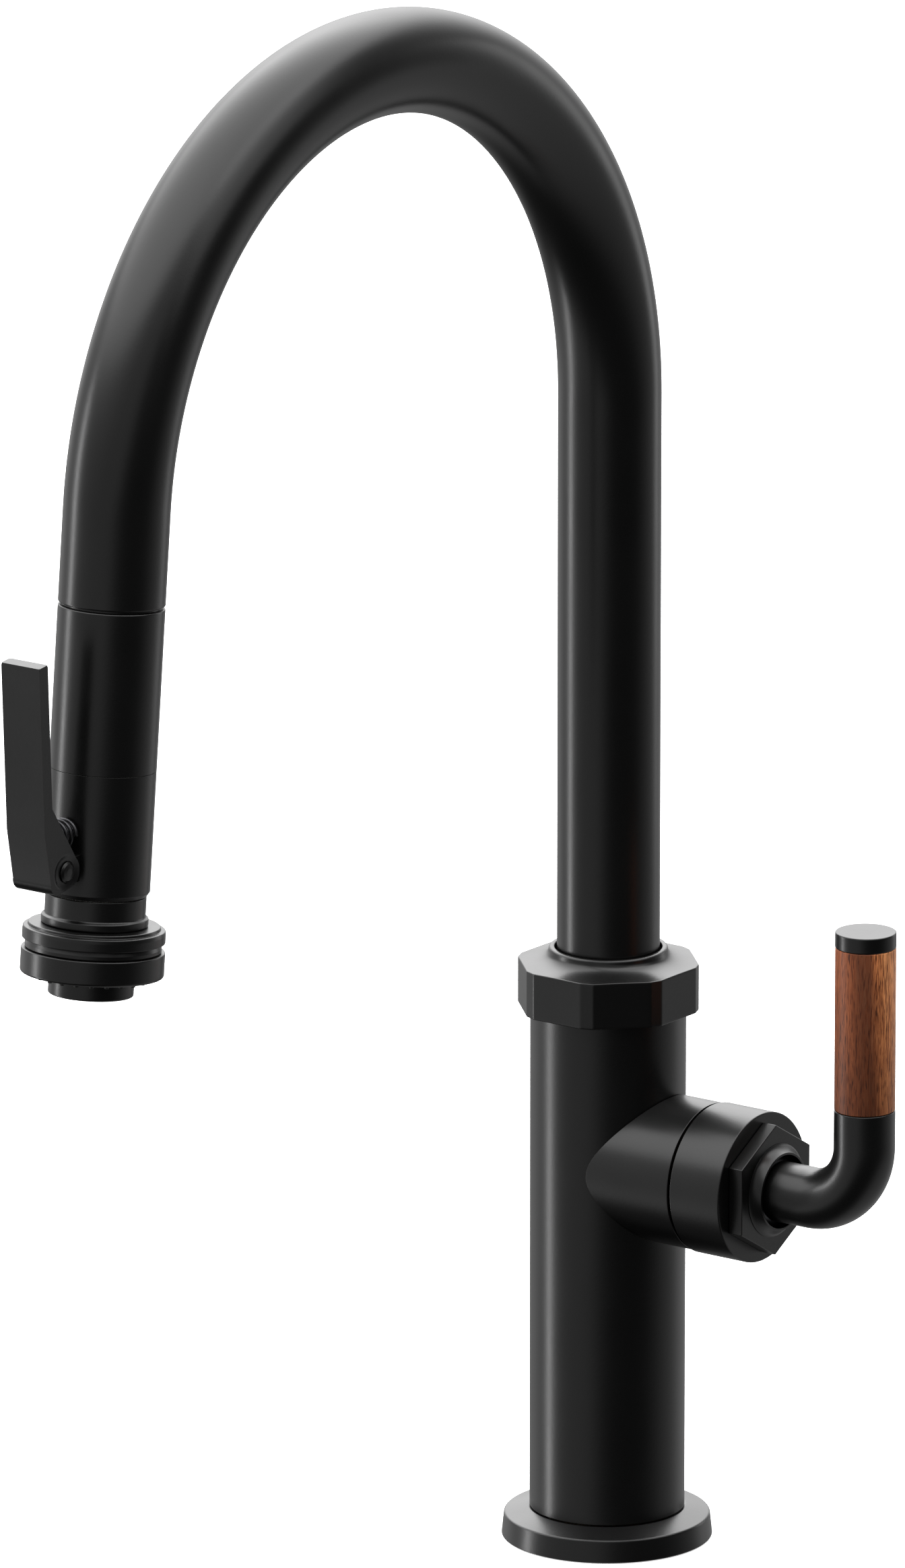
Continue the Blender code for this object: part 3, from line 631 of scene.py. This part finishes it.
def make_shells(black):
    """Two turned shells with a fine joint line; a lip inside the upper one meets the spout."""
    start, end, inner, outer = on_head("head_upper_shell")
    lip = start - 0.62 * MM
    lip_r = outer - 1.2 * MM
    profile = [(outer, start, 0.4 * MM), (outer, end + 0.1 * MM, 0.05 * MM)]
    profile += [(inner, end + 0.1 * MM), (inner, lip), (lip_r, lip), (lip_r, start)]
    piece = turned("upper_shell", rounded(profile, 0.15 * MM), HEAD, black)
    finish(piece, "spray_head", "black_coated_metal", "head_upper_shell")

    start = end + 0.2 * MM
    end = on_head("head_lower_shell")[1]
    profile = [(outer, start, 0.05 * MM), (outer, end - 1.1 * MM, 0.3 * MM)]
    profile += [(outer - 0.7 * MM, end, 0.15 * MM), (inner, end), (inner, start)]
    piece = turned("lower_shell", dense(rounded(profile, 0.15 * MM), 4 * MM), HEAD, black)
    hole = place_on_head(0.0, 83.7 * MM)
    cutter = turned("plunger_hole", rounded([(0, 5 * MM), (2.4 * MM, 5 * MM), (2.4 * MM, 20 * MM),
                                             (0, 20 * MM)], 0), line(hole, OUT_HEAD), black, 48)
    cut(piece, cutter)
    finish(piece, "spray_head", "black_coated_metal", "head_lower_shell")
    make_lug(black)


def place_on_head(out, along):
    """A point given out from the head's axis and along it."""
    return ARC_END + DOWN_HEAD * along + OUT_HEAD * out


def pin_on_head():
    """(out, along) of the lever's pin."""
    offset = PIN - ARC_END
    return float(offset @ OUT_HEAD), float(offset @ DOWN_HEAD)


def slab(name, outline, width, material, bevel, corner=0.0):
    """An outline of (out, along) points made a slab across the head, its edges rounded.

    A corner radius rounds both ends of the outline's closing edge.
    """
    half = width / 2
    flat = np.array([place_on_head(out, along) for out, along in outline])
    left, right = flat - (half, 0, 0), flat + (half, 0, 0)
    count = len(outline)
    mesh = bpy.data.meshes.new(name)
    sides = [(i, (i + 1) % count, count + (i + 1) % count, count + i) for i in range(count)]
    ends = [tuple(range(count))[::-1], tuple(range(count, 2 * count))]
    mesh.from_pydata(np.vstack([left, right]).tolist(), [], sides + ends)
    cage = bmesh.new()
    cage.from_mesh(mesh)
    bmesh.ops.recalc_face_normals(cage, faces=cage.faces)
    if corner > 0:
        cage.verts.ensure_lookup_table()
        tops = [cage.edges.get((cage.verts[i], cage.verts[i + count - 1])) for i in (0, count)]
        bmesh.ops.bevel(cage, geom=tops, offset=corner, segments=8, profile=0.5)
    cage.to_mesh(mesh)
    cage.free()
    mesh.materials.append(material)
    piece = bpy.data.objects.new(name, mesh)
    bpy.context.scene.collection.objects.link(piece)
    if bevel > 0:
        soften(piece, bevel)
    return piece


def soften(piece, width):
    """Round every edge sharper than 32 degrees."""
    modifier = piece.modifiers.new("soft_edges", "BEVEL")
    modifier.width = width
    modifier.segments = 4
    modifier.limit_method = "ANGLE"
    modifier.angle_limit = math.radians(32)
    apply_modifiers(piece)


def level_faces(piece):
    """Weight the normals by area, so that flat faces shade flat beside their soft edges."""
    modifier = piece.modifiers.new("level_faces", "WEIGHTED_NORMAL")
    modifier.keep_sharp = True
    bpy.context.view_layer.update()
    evaluated = piece.evaluated_get(bpy.context.evaluated_depsgraph_get())
    mesh = bpy.data.meshes.new_from_object(evaluated)
    piece.modifiers.clear()
    piece.data = mesh


def circle(centre, radius, start, end, count):
    """Points of an arc, c + r (cos a, sin a), between two angles in degrees."""
    angles = np.radians(np.linspace(start, end, count))
    return [(centre[0] + radius * math.cos(a), centre[1] + radius * math.sin(a)) for a in angles]


def make_lug(black):
    """The bracket that holds the pin: a half round of 2.9 mm on a foot let into the shell."""
    out, along = pin_on_head()
    outline = circle((out, along), 2.9 * MM, -90, 90, 25)
    outline += [(13.4 * MM, along + 3.6 * MM), (13.4 * MM, along - 3.6 * MM)]
    piece = slab("lever_lug", outline, 8.8 * MM, black, 0.3 * MM)
    finish(piece, "spray_head", "black_coated_metal")


def make_neck(black):
    """Turned neck with a bead at its foot, then the disc, ring and groove below it.

    The disc has a short spigot at each end that closes the joint to its neighbour.
    """
    start, end, inner, outer = on_head("neck_sleeve")
    neck = outer - 0.8 * MM
    bead = end - 2.0 * MM
    foot = end + 0.25 * MM
    profile = [(neck, start, 0.2 * MM), (neck, bead - 0.2 * MM, 0.5 * MM)]
    profile += [(outer, bead + 0.35 * MM, 0.35 * MM), (outer, foot, 0.35 * MM)]
    profile += [(inner, foot), (inner, start)]
    piece = turned("neck", rounded(profile, 0.15 * MM), HEAD, black)
    finish(piece, "spray_head", "black_coated_metal", "neck_sleeve")

    start, end, inner, outer = on_head("spray_housing")
    disc = outer - 1.45 * MM
    band = outer - 0.85 * MM
    spigot = start - 1.5 * MM
    upper_r, lower_r = 11.5 * MM, 8.3 * MM
    profile = [(inner, spigot), (upper_r, spigot), (upper_r, start), (disc, start, 0.3 * MM)]
    profile += [(disc + 0.1 * MM, start + 0.8 * MM, 0.15 * MM)]
    profile += [(outer - 0.1 * MM, start + 0.95 * MM, 0.35 * MM), (outer, start + 2 * MM, 1 * MM)]
    profile += [(outer, start + 4.2 * MM, 0.2 * MM)]
    profile += [(band - 0.35 * MM, start + 4.3 * MM, 0.1 * MM), (band, start + 5.5 * MM, 0.1 * MM)]
    profile += [(band, end + 0.1 * MM), (lower_r, end + 0.1 * MM)]
    profile += [(lower_r, end + 1 * MM), (inner, end + 1 * MM)]
    piece = turned("spray_disc", rounded(profile, 0.15 * MM), HEAD, black)
    finish(piece, "spray_head", "black_coated_metal", "spray_housing")


def make_face(black, rubber, acetal):
    """Turned lower ring and outlet, whose root flares into the ring's mouth."""
    start, end, inner, outer = on_head("spray_ring")
    mouth = 17.0 * MM
    profile = [(outer, start, 0.35 * MM), (outer, end, 0.7 * MM), (mouth, end, 0.3 * MM)]
    profile += [(mouth, start + 2 * MM), (inner, start + 2 * MM), (inner, start)]
    piece = turned("spray_collar", rounded(profile, 0.15 * MM), HEAD, black)
    finish(piece, "spray_head", "black_coated_metal", "spray_ring")

    start, end, inner, outer = on_head("nozzle")
    root = on_head("spray_ring")[1] + 0.05 * MM
    profile = [(outer + 0.8 * MM, root, 0.1 * MM), (outer, root + 0.8 * MM, 0.6 * MM)]
    profile += [(outer, end, 0.45 * MM), (inner, end, 0.3 * MM), (inner, start), (outer, start)]
    piece = turned("outlet", rounded(profile, 0.15 * MM), HEAD, black)
    finish(piece, "spray_head", "black_coated_metal", "nozzle")
    make_pad(rubber)
    make_aerator(acetal)


def make_pad(rubber):
    """The rubber face, with two rings of small cones for the spray."""
    start, end, inner, outer = on_head("spray_face_pad")
    profile = [(outer, start), (outer, end), (inner, end), (inner, start)]
    face = turned("spray_pad", rounded(profile, 0.2 * MM), HEAD, rubber)
    finish(face, "spray_head", "rubber", "spray_face_pad")
    width = outer - inner
    cone = rounded([(0, -0.4 * MM), (0.9 * MM, -0.4 * MM), (0.55 * MM, 1.3 * MM, 0.2 * MM),
                    (0.25 * MM, 1.3 * MM), (0.2 * MM, 0.6 * MM), (0, 0.6 * MM)], 0.05 * MM, 3)
    spots = []
    for share, count, shift in ((0.3, 20, 0.0), (0.72, 24, 0.5)):
        radius = inner + share * width
        for k in range(count):
            angle = 2 * math.pi * (k + shift) / count
            spot = place_on_head(radius * math.sin(angle), end)
            spot = spot + np.array([radius * math.cos(angle), 0, 0])
            spots.append(spot)
    for index, spot in enumerate(spots):
        nub = turned(f"spray_nub_{index:02d}", cone, line(spot, DOWN_HEAD), rubber, 14)
        finish(nub, "spray_head", "rubber")


def make_aerator(acetal):
    """A turned disc with three rings of small raised eyes, where the water comes out."""
    start, end, _, outer = on_head("aerator")
    profile = [(0, start), (outer, start), (outer, end), (0, end)]
    piece = turned("flow_former", rounded(profile, 0.2 * MM), HEAD, acetal, 96)
    finish(piece, "spray_head", "acetal", "aerator")
    rim = rounded([(0.75 * MM, -0.1 * MM), (0.75 * MM, 0.25 * MM), (0.5 * MM, 0.25 * MM),
                   (0.5 * MM, -0.1 * MM)], 0.05 * MM, 2)
    for ring, count in ((2.2 * MM, 6), (4.4 * MM, 12), (6.6 * MM, 18)):
        for k in range(count):
            angle = 2 * math.pi * k / count
            spot = place_on_head(ring * math.sin(angle), end) + np.array([ring * math.cos(angle), 0, 0])
            eye = turned(f"flow_eye_{int(ring / MM)}_{k:02d}", rim, line(spot, DOWN_HEAD), acetal, 12)
            finish(eye, "spray_head", "acetal")


# ---------------------------------------------------------------- spray lever

def make_lever(black):
    """Paddle and cheeks: a side outline made a slab, a slot cut behind the paddle."""
    pin = pin_on_head()
    thick = 3.5 * MM
    top = (pin[0] + 17.1 * MM, pin[1] - 55.2 * MM)
    crease = (pin[0] + 11.0 * MM, pin[1] - 10.9 * MM)
    low = (pin[0] + 7.3 * MM, pin[1] + 2.4 * MM)

    def front(along):
        a, b = (top, crease) if along < crease[1] else (crease, low)
        return a[0] + (b[0] - a[0]) * (along - a[1]) / (b[1] - a[1])

    shoulder = pin[1] - 17.7 * MM
    outline = [top, crease, low]
    outline += circle((low[0] - 3.2 * MM, low[1] - 0.1 * MM), 3.3 * MM, 12, 88, 14)
    outline += circle(pin, 4.5 * MM, 100, 232, 40)
    outline += [(front(shoulder) - thick, shoulder), (top[0] - thick, top[1] - 0.8 * MM)]
    piece = slab("lever", outline, LEVER_SPAN, black, 0, 0.8 * MM)
    slot = [(front(shoulder) - thick - 2 * MM, shoulder - 4 * MM)]
    slot += [(front(shoulder + 1.4 * MM) - thick, shoulder + 1.4 * MM)]
    slot += [(front(crease[1]) - thick, crease[1]), (front(low[1]) - thick, low[1])]
    slot += [(front(low[1] + 10 * MM) - thick, low[1] + 10 * MM), (5 * MM, low[1] + 10 * MM)]
    slot += [(5 * MM, shoulder - 4 * MM)]
    cut(piece, slab("slot", slot, LEVER_SLOT, black, 0))
    soften(piece, 0.45 * MM)
    bore = rounded([(0, -20 * MM), (1.75 * MM, -20 * MM), (1.75 * MM, 20 * MM), (0, 20 * MM)], 0)
    cut(piece, turned("bore", bore, line(PIN, OUT), black, 48))
    # Each cheek has a round seat for the rivet's head, under a wider shallow cone.
    for side in (-1, 1):
        dish = [(0, 5.1 * MM), (3.0 * MM, 5.1 * MM), (3.0 * MM, 7.0 * MM), (0, 7.0 * MM)]
        cut(piece, turned("dish", rounded(dish, 0), line(PIN, (side, 0, 0)), black, 64))
        cone = [(0, 5.5 * MM), (3.0 * MM, 5.5 * MM), (4.2 * MM, 5.75 * MM), (5.3 * MM, 6.25 * MM),
                (5.5 * MM, 6.5 * MM), (0, 6.5 * MM)]
        centre = PIN + OUT_HEAD * 1.0 * MM
        cut(piece, turned("cone", rounded(cone, 0), line(centre, (side, 0, 0)), black, 96))
    level_faces(piece)
    finish(piece, "lever", "black_coated_metal", "spray_lever")


def make_pin(black):
    """A rivet with low domed heads that stand just proud of the cheeks."""
    half = 6.6 * MM
    neck = 5.3 * MM
    head = [(2.8 * MM, neck, 0.05 * MM), (2.8 * MM, 5.9 * MM, 0.2 * MM),
            (2.2 * MM, 6.35 * MM, 0.8 * MM), (1.1 * MM, 6.55 * MM, 1.0 * MM)]
    upper = [(r, s, fillet) for r, s, fillet in reversed(head)]
    lower = [(r, -s, fillet) for r, s, fillet in head]
    profile = [(0, half)] + upper + [(1.5 * MM, neck), (1.5 * MM, -neck)] + lower + [(0, -half)]
    piece = turned("rivet", rounded(profile, 0.1 * MM), line(PIN, OUT), black, 96)
    finish(piece, "spray_head", "steel", "lever_pin")


def make_spring(steel):
    """A round wire along a helix: place(t) = axis(t) + R (cos 2 pi n t, sin 2 pi n t)."""
    points = node_points("lever_spring") - ARC_END
    out, along = points @ OUT_HEAD, points @ DOWN_HEAD
    wire = 0.55 * MM
    radius = float(points[:, 0].max()) - wire
    centre = float(along.max() + along.min()) / 2
    start, end = float(out.min()) + wire, float(out.max()) - wire
    turns, count, around = 5.0, 400, 16
    t = np.linspace(0, 1, count)[:, None]
    angle = 2 * np.pi * turns * t
    reach = start + (end - start) * t
    middle = np.array(place_on_head(0, centre)) + OUT_HEAD * reach
    ring = np.array(OUT)[None] * np.cos(angle) + (-DOWN_HEAD)[None] * np.sin(angle)
    spin = -np.array(OUT)[None] * np.sin(angle) + (-DOWN_HEAD)[None] * np.cos(angle)
    heading = spin * radius * 2 * np.pi * turns + OUT_HEAD * (end - start)
    heading = heading / np.linalg.norm(heading, axis=1, keepdims=True)
    side = np.cross(heading, ring)
    a = np.linspace(0, 2 * np.pi, around, endpoint=False)[None, :, None]
    line_points = (middle + radius * ring)[:, None, :]
    verts = line_points + wire * (np.cos(a) * ring[:, None, :] + np.sin(a) * side[:, None, :])
    flat = np.vstack([verts.reshape(-1, 3), line_points[0], line_points[-1]])
    j = np.arange(around)
    beside = (j + 1) % around
    base = (count - 1) * around
    caps = np.vstack([np.stack([np.full(around, count * around), j, beside], axis=1),
                      np.stack([np.full(around, count * around + 1), base + beside, base + j], axis=1)])
    piece = make_piece("coil_spring", flat, grid_faces(count, around, False), steel, caps)
    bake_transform(piece)
    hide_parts("lever_spring")


# --------------------------------------------------------------------- handle

def make_hub(black):
    """Turned ring with a hole in its underside for the set screw."""
    start, end, inner, outer = sideways("handle_hub")
    start += 0.15 * MM
    profile = [(outer, start, 0.12 * MM), (outer, end, 0.35 * MM), (inner, end), (inner, start)]
    piece = turned("hub", dense(rounded(profile, 0.15 * MM), 3 * MM), LEVEL, black, 256)
    x = node_points("hub_set_screw")[:, 0].mean()
    hole = [(0, 10 * MM), (2.3 * MM, 10 * MM), (2.3 * MM, 30 * MM), (0, 30 * MM)]
    cut(piece, turned("screw_hole", rounded(hole, 0), line((x, 0, VALVE[2]), (0, 0, -1)), black, 48))
    finish(piece, "hub", "black_coated_metal", "handle_hub")


def make_nut(black):
    """A hexagonal prism with a corner up and rounded edges, on a neck that enters the hub."""
    start, end, _, corner = sideways("hex_nut")
    hub_end = sideways("handle_hub")[1]
    face = hub_end + 0.1 * MM
    angles = np.linspace(0, 2 * np.pi, FLAT_STEPS, endpoint=False)
    _, normal, other = LEVEL(np.zeros(1))
    lift = math.atan2(other[0, 2], normal[0, 2])
    planes = [(lift + math.radians(60 * k + 30), corner * math.cos(math.pi / 6)) for k in range(6)]
    outline = many_sided(angles, planes)
    size = 0.25 * MM
    bevel = np.linspace(0, np.pi / 2, 5)
    rows = [(NUT_BORE, start), (14.4 * MM, start), (14.4 * MM, face)]
    rows += [(outline - size + size * np.sin(a), face + size - size * np.cos(a)) for a in bevel]
    rows += [(outline, face + (end - face) * share) for share in (0.08, 0.92)]
    rows += [(outline - size + size * np.cos(a), end - size + size * np.sin(a)) for a in bevel]
    rows += [((outline - size) * (1 - share) + (NUT_BORE + 0.05 * MM) * share, end)
             for share in (0.04, 0.96, 1.0)]
    rows += [(NUT_BORE, end - 0.1 * MM)]
    piece = prism("nut", rows, LEVEL, black)
    finish(piece, "hub", "black_coated_metal", "hex_nut")


def make_cup(black):
    """Turned cup: its flank is half a straight cone and half a quarter hollow."""
    start, end, _, _ = sideways("ball_retainer")
    face = sideways("hex_nut")[1] + 0.1 * MM
    rise = np.linspace(0.06, 0.94, 9)
    flare = [(13 * MM - 2.25 * MM * (0.5 * t + 0.5 * math.sqrt(1 - (1 - t) ** 2)),
              face + (end - face) * t, 0) for t in rise]
    profile = [(13.1 * MM, face, 0.05 * MM)] + flare
    profile += [(10.75 * MM, end, 0.3 * MM), (10.1 * MM, end, 0.1 * MM)]
    profile += [(10.8 * MM, end - 2 * MM), (10.8 * MM, start), (12.0 * MM, start), (12.0 * MM, face)]
    piece = turned("cup", rounded(profile, 0.15 * MM), LEVEL, black)
    finish(piece, "hub", "black_coated_metal", "ball_retainer")


def make_ball(metal_shade):
    """Turned ball, (r cos a, r sin a) about its centre, with a stub on its flat front.

    The front shows as a dark floor inside the cup, and a small bulb reaches the valve.
    """
    radius = 10.35 * MM
    stub, waist, small = 3.9 * MM, 2.0 * MM, 2.9 * MM
    tip = node_points("lever_ball")[:, 0].min()
    flat = 57.0 * MM - BALL[0]
    front = 62.4 * MM - BALL[0]
    start = math.asin(flat / radius)
    angles = np.linspace(start, -math.acos(waist / radius), 40)
    profile = [(0, front), (stub, front), (stub, flat)]
    profile += [(radius * math.cos(a), radius * math.sin(a), 0) for a in angles]
    neck = tip - BALL[0] + small
    bulb = np.linspace(0.76, -math.pi / 2, 12)[:-1]
    profile += [(small * math.cos(a), neck + small * math.sin(a), 0) for a in bulb]
    profile += [(0, neck - small)]
    piece = turned("ball", rounded(profile, 0.1 * MM), line(BALL, OUT), metal_shade, 96)
    finish(piece, "handle", "brass", "lever_ball")


def make_arm(black):
    """A rod carried level out of the cup, a quarter turn up, and straight to the grip.

    Its thinner root reaches back into the cup. Returns how far out the grip's axis is.
    """
    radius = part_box("handle_arm")[1].y
    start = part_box("handle_arm")[0].x
    grip_low, grip_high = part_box("wood_grip")
    x = (grip_low.x + grip_high.x) / 2
    bend = 17.3 * MM
    straight = x - bend - start
    end = straight + bend * math.pi / 2 + (grip_low.z - 0.12 * MM - VALVE[2] - bend)
    path = bent((start, 0, VALVE[2]), OUT, UP, straight, bend, math.pi / 2)
    root, root_r = 57.2 * MM - start, 7.6 * MM
    profile = [(0, root), (root_r, root), (root_r, 0, 0.15 * MM), (radius, 0, 0.4 * MM)]
    profile += [(radius, end, 0.25 * MM), (0, end)]
    piece = turned("arm", dense(rounded(profile), 1.0 * MM), path, black, 128)
    finish(piece, "handle", "black_coated_metal", "handle_arm")
    return x


def make_grip(black, wood, x):
    """Turned wooden sleeve and a turned cap over it, both about the grip's axis."""
    axis = line((x, 0, 0), UP)
    low, high, _, outer = extent("wood_grip", (x, 0, 0), UP)
    profile = [(outer, high + 0.1 * MM, 0.3 * MM), (outer, low, 0.3 * MM), (GRIP_BORE, low)]
    profile += [(GRIP_BORE, high + 0.1 * MM)]
    piece = turned("grip", rounded(profile), axis, wood)
    finish(piece, "handle", "walnut", "wood_grip")
    start, end, _, outer = extent("grip_cap", (x, 0, 0), UP)
    profile = [(0, end), (outer, end, 0.35 * MM), (outer, start - 0.1 * MM, 0.2 * MM)]
    profile += [(GRIP_BORE, start - 0.1 * MM), (GRIP_BORE, end - 1.4 * MM), (0, end - 1.4 * MM)]
    piece = turned("cap", rounded(profile), axis, black)
    finish(piece, "handle", "black_coated_metal", "grip_cap")


# ------------------------------------------------------------- camera and light

def make_camera():
    """A long lens from the front right, a little above, its verticals nearly parallel."""
    data = bpy.data.cameras.new("camera")
    data.lens = 364.5
    data.sensor_width = 36.0
    data.clip_end = 200.0
    camera = bpy.data.objects.new("camera", data)
    bpy.context.scene.collection.objects.link(camera)
    camera.location = (2.4390, -3.3649, 1.3179)
    target = Vector((-0.0394, -0.01795, 0.20978))
    camera.rotation_euler = (target - camera.location).to_track_quat("-Z", "Y").to_euler()
    bpy.context.scene.camera = camera


def softbox(name, place, target, width, height, power):
    """A rectangular light that faces a point."""
    data = bpy.data.lights.new(name, "AREA")
    data.shape = "RECTANGLE"
    data.size, data.size_y = width, height
    data.energy = power
    lamp = bpy.data.objects.new(name, data)
    bpy.context.scene.collection.objects.link(lamp)
    lamp.location = place
    facing = Vector(target) - Vector(place)
    lamp.rotation_euler = facing.to_track_quat("-Z", "Y").to_euler()


def make_stage():
    """A white floor just below the faucet, seen by the camera but not by the black metal."""
    mesh = bpy.data.meshes.new("floor")
    reach = 100.0
    level = -0.2 * MM
    mesh.from_pydata([(-reach, -reach, level), (reach, -reach, level), (reach, reach, level),
                      (-reach, reach, level)], [], [(0, 1, 2, 3)])
    floor = bpy.data.objects.new("floor", mesh)
    bpy.context.scene.collection.objects.link(floor)
    material, _, shader, _ = new_material("white_floor", "#f2f2f2", 0.9)
    shader.inputs["Specular IOR Level"].default_value = 0.0
    shader.inputs["Emission Color"].default_value = (1, 1, 1, 1)
    shader.inputs["Emission Strength"].default_value = 0.5
    mesh.materials.append(material)
    floor.visible_glossy = False
    floor.visible_diffuse = False
    floor.visible_shadow = False
    bpy.context.scene.view_settings.view_transform = "Standard"


def heading(azimuth, elevation):
    """A unit vector from compass angles in degrees, counted from +X towards +Y."""
    a, e = math.radians(azimuth), math.radians(elevation)
    return (math.cos(e) * math.cos(a), math.cos(e) * math.sin(a), math.sin(e))


def glow(tree, direction, towards, stops):
    """Light that depends on the angle to a direction: (cosine, strength) stops."""
    cosine = add_node(tree, "ShaderNodeVectorMath", {0: direction, 1: towards},
                      operation="DOT_PRODUCT").outputs["Value"]
    share = add_node(tree, "ShaderNodeMapRange", {"Value": cosine, "From Min": -1.0})
    ramp = add_node(tree, "ShaderNodeValToRGB", {"Fac": share.outputs["Result"]})
    peak = max(strength for _, strength in stops)
    marks = ramp.color_ramp.elements
    while len(marks) < len(stops):
        marks.new(0.5)
    for mark, (place, strength) in zip(marks, stops):
        mark.position = (place + 1) / 2
        mark.color = (strength / peak,) * 3 + (1,)
    return add_node(tree, "ShaderNodeMath", {0: ramp.outputs["Color"], 1: peak},
                    operation="MULTIPLY").outputs[0]


def make_world():
    """A dark room with four glows: front left, overhead, behind, and low at the back right."""
    world = bpy.data.worlds.new("studio")
    bpy.context.scene.world = world
    world.use_nodes = True
    tree = world.node_tree
    tree.nodes.clear()
    direction = add_node(tree, "ShaderNodeTexCoord").outputs["Generated"]
    left = glow(tree, direction, heading(-135, 50),
                ((-0.15, 0.06), (-0.06, 0.1), (0.04, 0.32), (0.11, 0.58), (0.2, 0.66), (0.3, 0.58),
                 (0.44, 0.52), (0.63, 0.6), (0.79, 0.7)))
    over = glow(tree, direction, heading(180, 75),
                ((0.5, 0.0), (0.57, 1.5), (0.63, 2.5), (1.0, 2.7)))
    back = glow(tree, direction, heading(126, 30),
                ((0.1, 0.0), (0.38, 0.16), (0.56, 0.26), (0.7, 0.5), (0.82, 1.1), (0.9, 2.0),
                 (0.97, 3.0)))
    low = glow(tree, direction, heading(60, -50),
               ((0.6, 0.0), (0.7, 0.14), (0.8, 0.4), (0.9, 0.5)))
    upper = add_node(tree, "ShaderNodeMath", {0: left, 1: back}, operation="ADD").outputs[0]
    lower = add_node(tree, "ShaderNodeMath", {0: low, 1: over}, operation="ADD").outputs[0]
    total = add_node(tree, "ShaderNodeMath", {0: upper, 1: lower}, operation="ADD").outputs[0]
    sky = add_node(tree, "ShaderNodeBackground", {"Strength": total})
    result = add_node(tree, "ShaderNodeOutputWorld")
    tree.links.new(sky.outputs[0], result.inputs["Surface"])


def make_lights():
    """A narrow strip that draws the bright line down every upright, and two wide boxes.

    One box stands on the far right, the other hangs high at the front right.
    """
    x, y, _ = heading(-150.5, 0)
    softbox("left_strip", (3 * x, 3 * y, -0.5), (0, 0, -0.5), 0.26, 3.0, 30)
    x, y, _ = heading(72, 0)
    softbox("right_box", (3 * x, 3 * y, 0.4), (0, -0.1, 0.25), 0.8, 1.8, 6)
    x, y, z = heading(12, 42)
    softbox("upper_box", (3 * x, 3 * y, 3 * z + 0.25), (0, -0.1, 0.25), 2.2, 2.2, 17)


# ------------------------------------------------------------------------ main

make_camera()
make_stage()
make_world()
make_lights()
BLACK = satin_black()
WOOD = walnut()
RUBBER = moulding("silicone_rubber", "#1c1c1c", "#242424", 0.7)
ACETAL = moulding("moulded_acetal", "#c9c9c4", "#bdbdb8", 0.45)
CERAMIC = moulding("lapped_alumina", "#e6e2d8", "#dcd7cb", 0.25)
MAGNET = moulding("bonded_ferrite", "#3a3a3c", "#2d2d2f", 0.5)
BRASS = metal("machined_brass", "#c9a35c", 0.32)
STEEL = metal("drawn_steel", "#b9b9bb", 0.3)
DARK_STEEL = metal("blackened_spring_steel", "#4a4a4c", 0.34)
COPPER = metal("drawn_copper", "#c9805c", 0.35)
NYLON = braid()

FINISH = {"black_coated_metal": BLACK, "walnut": WOOD, "brass": BRASS, "steel": STEEL,
          "copper": COPPER, "ceramic": CERAMIC, "acetal": ACETAL, "rubber": RUBBER,
          "braided_nylon": NYLON, "magnet": MAGNET}
for part in frame["record"]["subparts"]:
    mesh = NODES[part["node"]].data
    mesh.materials.clear()
    mesh.materials.append(FINISH[part["material_slot"]])

make_flange(BLACK)
make_column(BLACK)
make_boss(BLACK)
make_collar(BLACK)
make_tube(BLACK)
make_hose(NYLON)
make_shells(BLACK)
make_neck(BLACK)
make_face(BLACK, RUBBER, ACETAL)
make_lever(BLACK)
make_pin(BLACK)
make_spring(DARK_STEEL)
make_hub(BLACK)
make_nut(BLACK)
make_cup(BLACK)
make_ball(DARK_STEEL)
GRIP_X = make_arm(BLACK)
make_grip(BLACK, WOOD, GRIP_X)
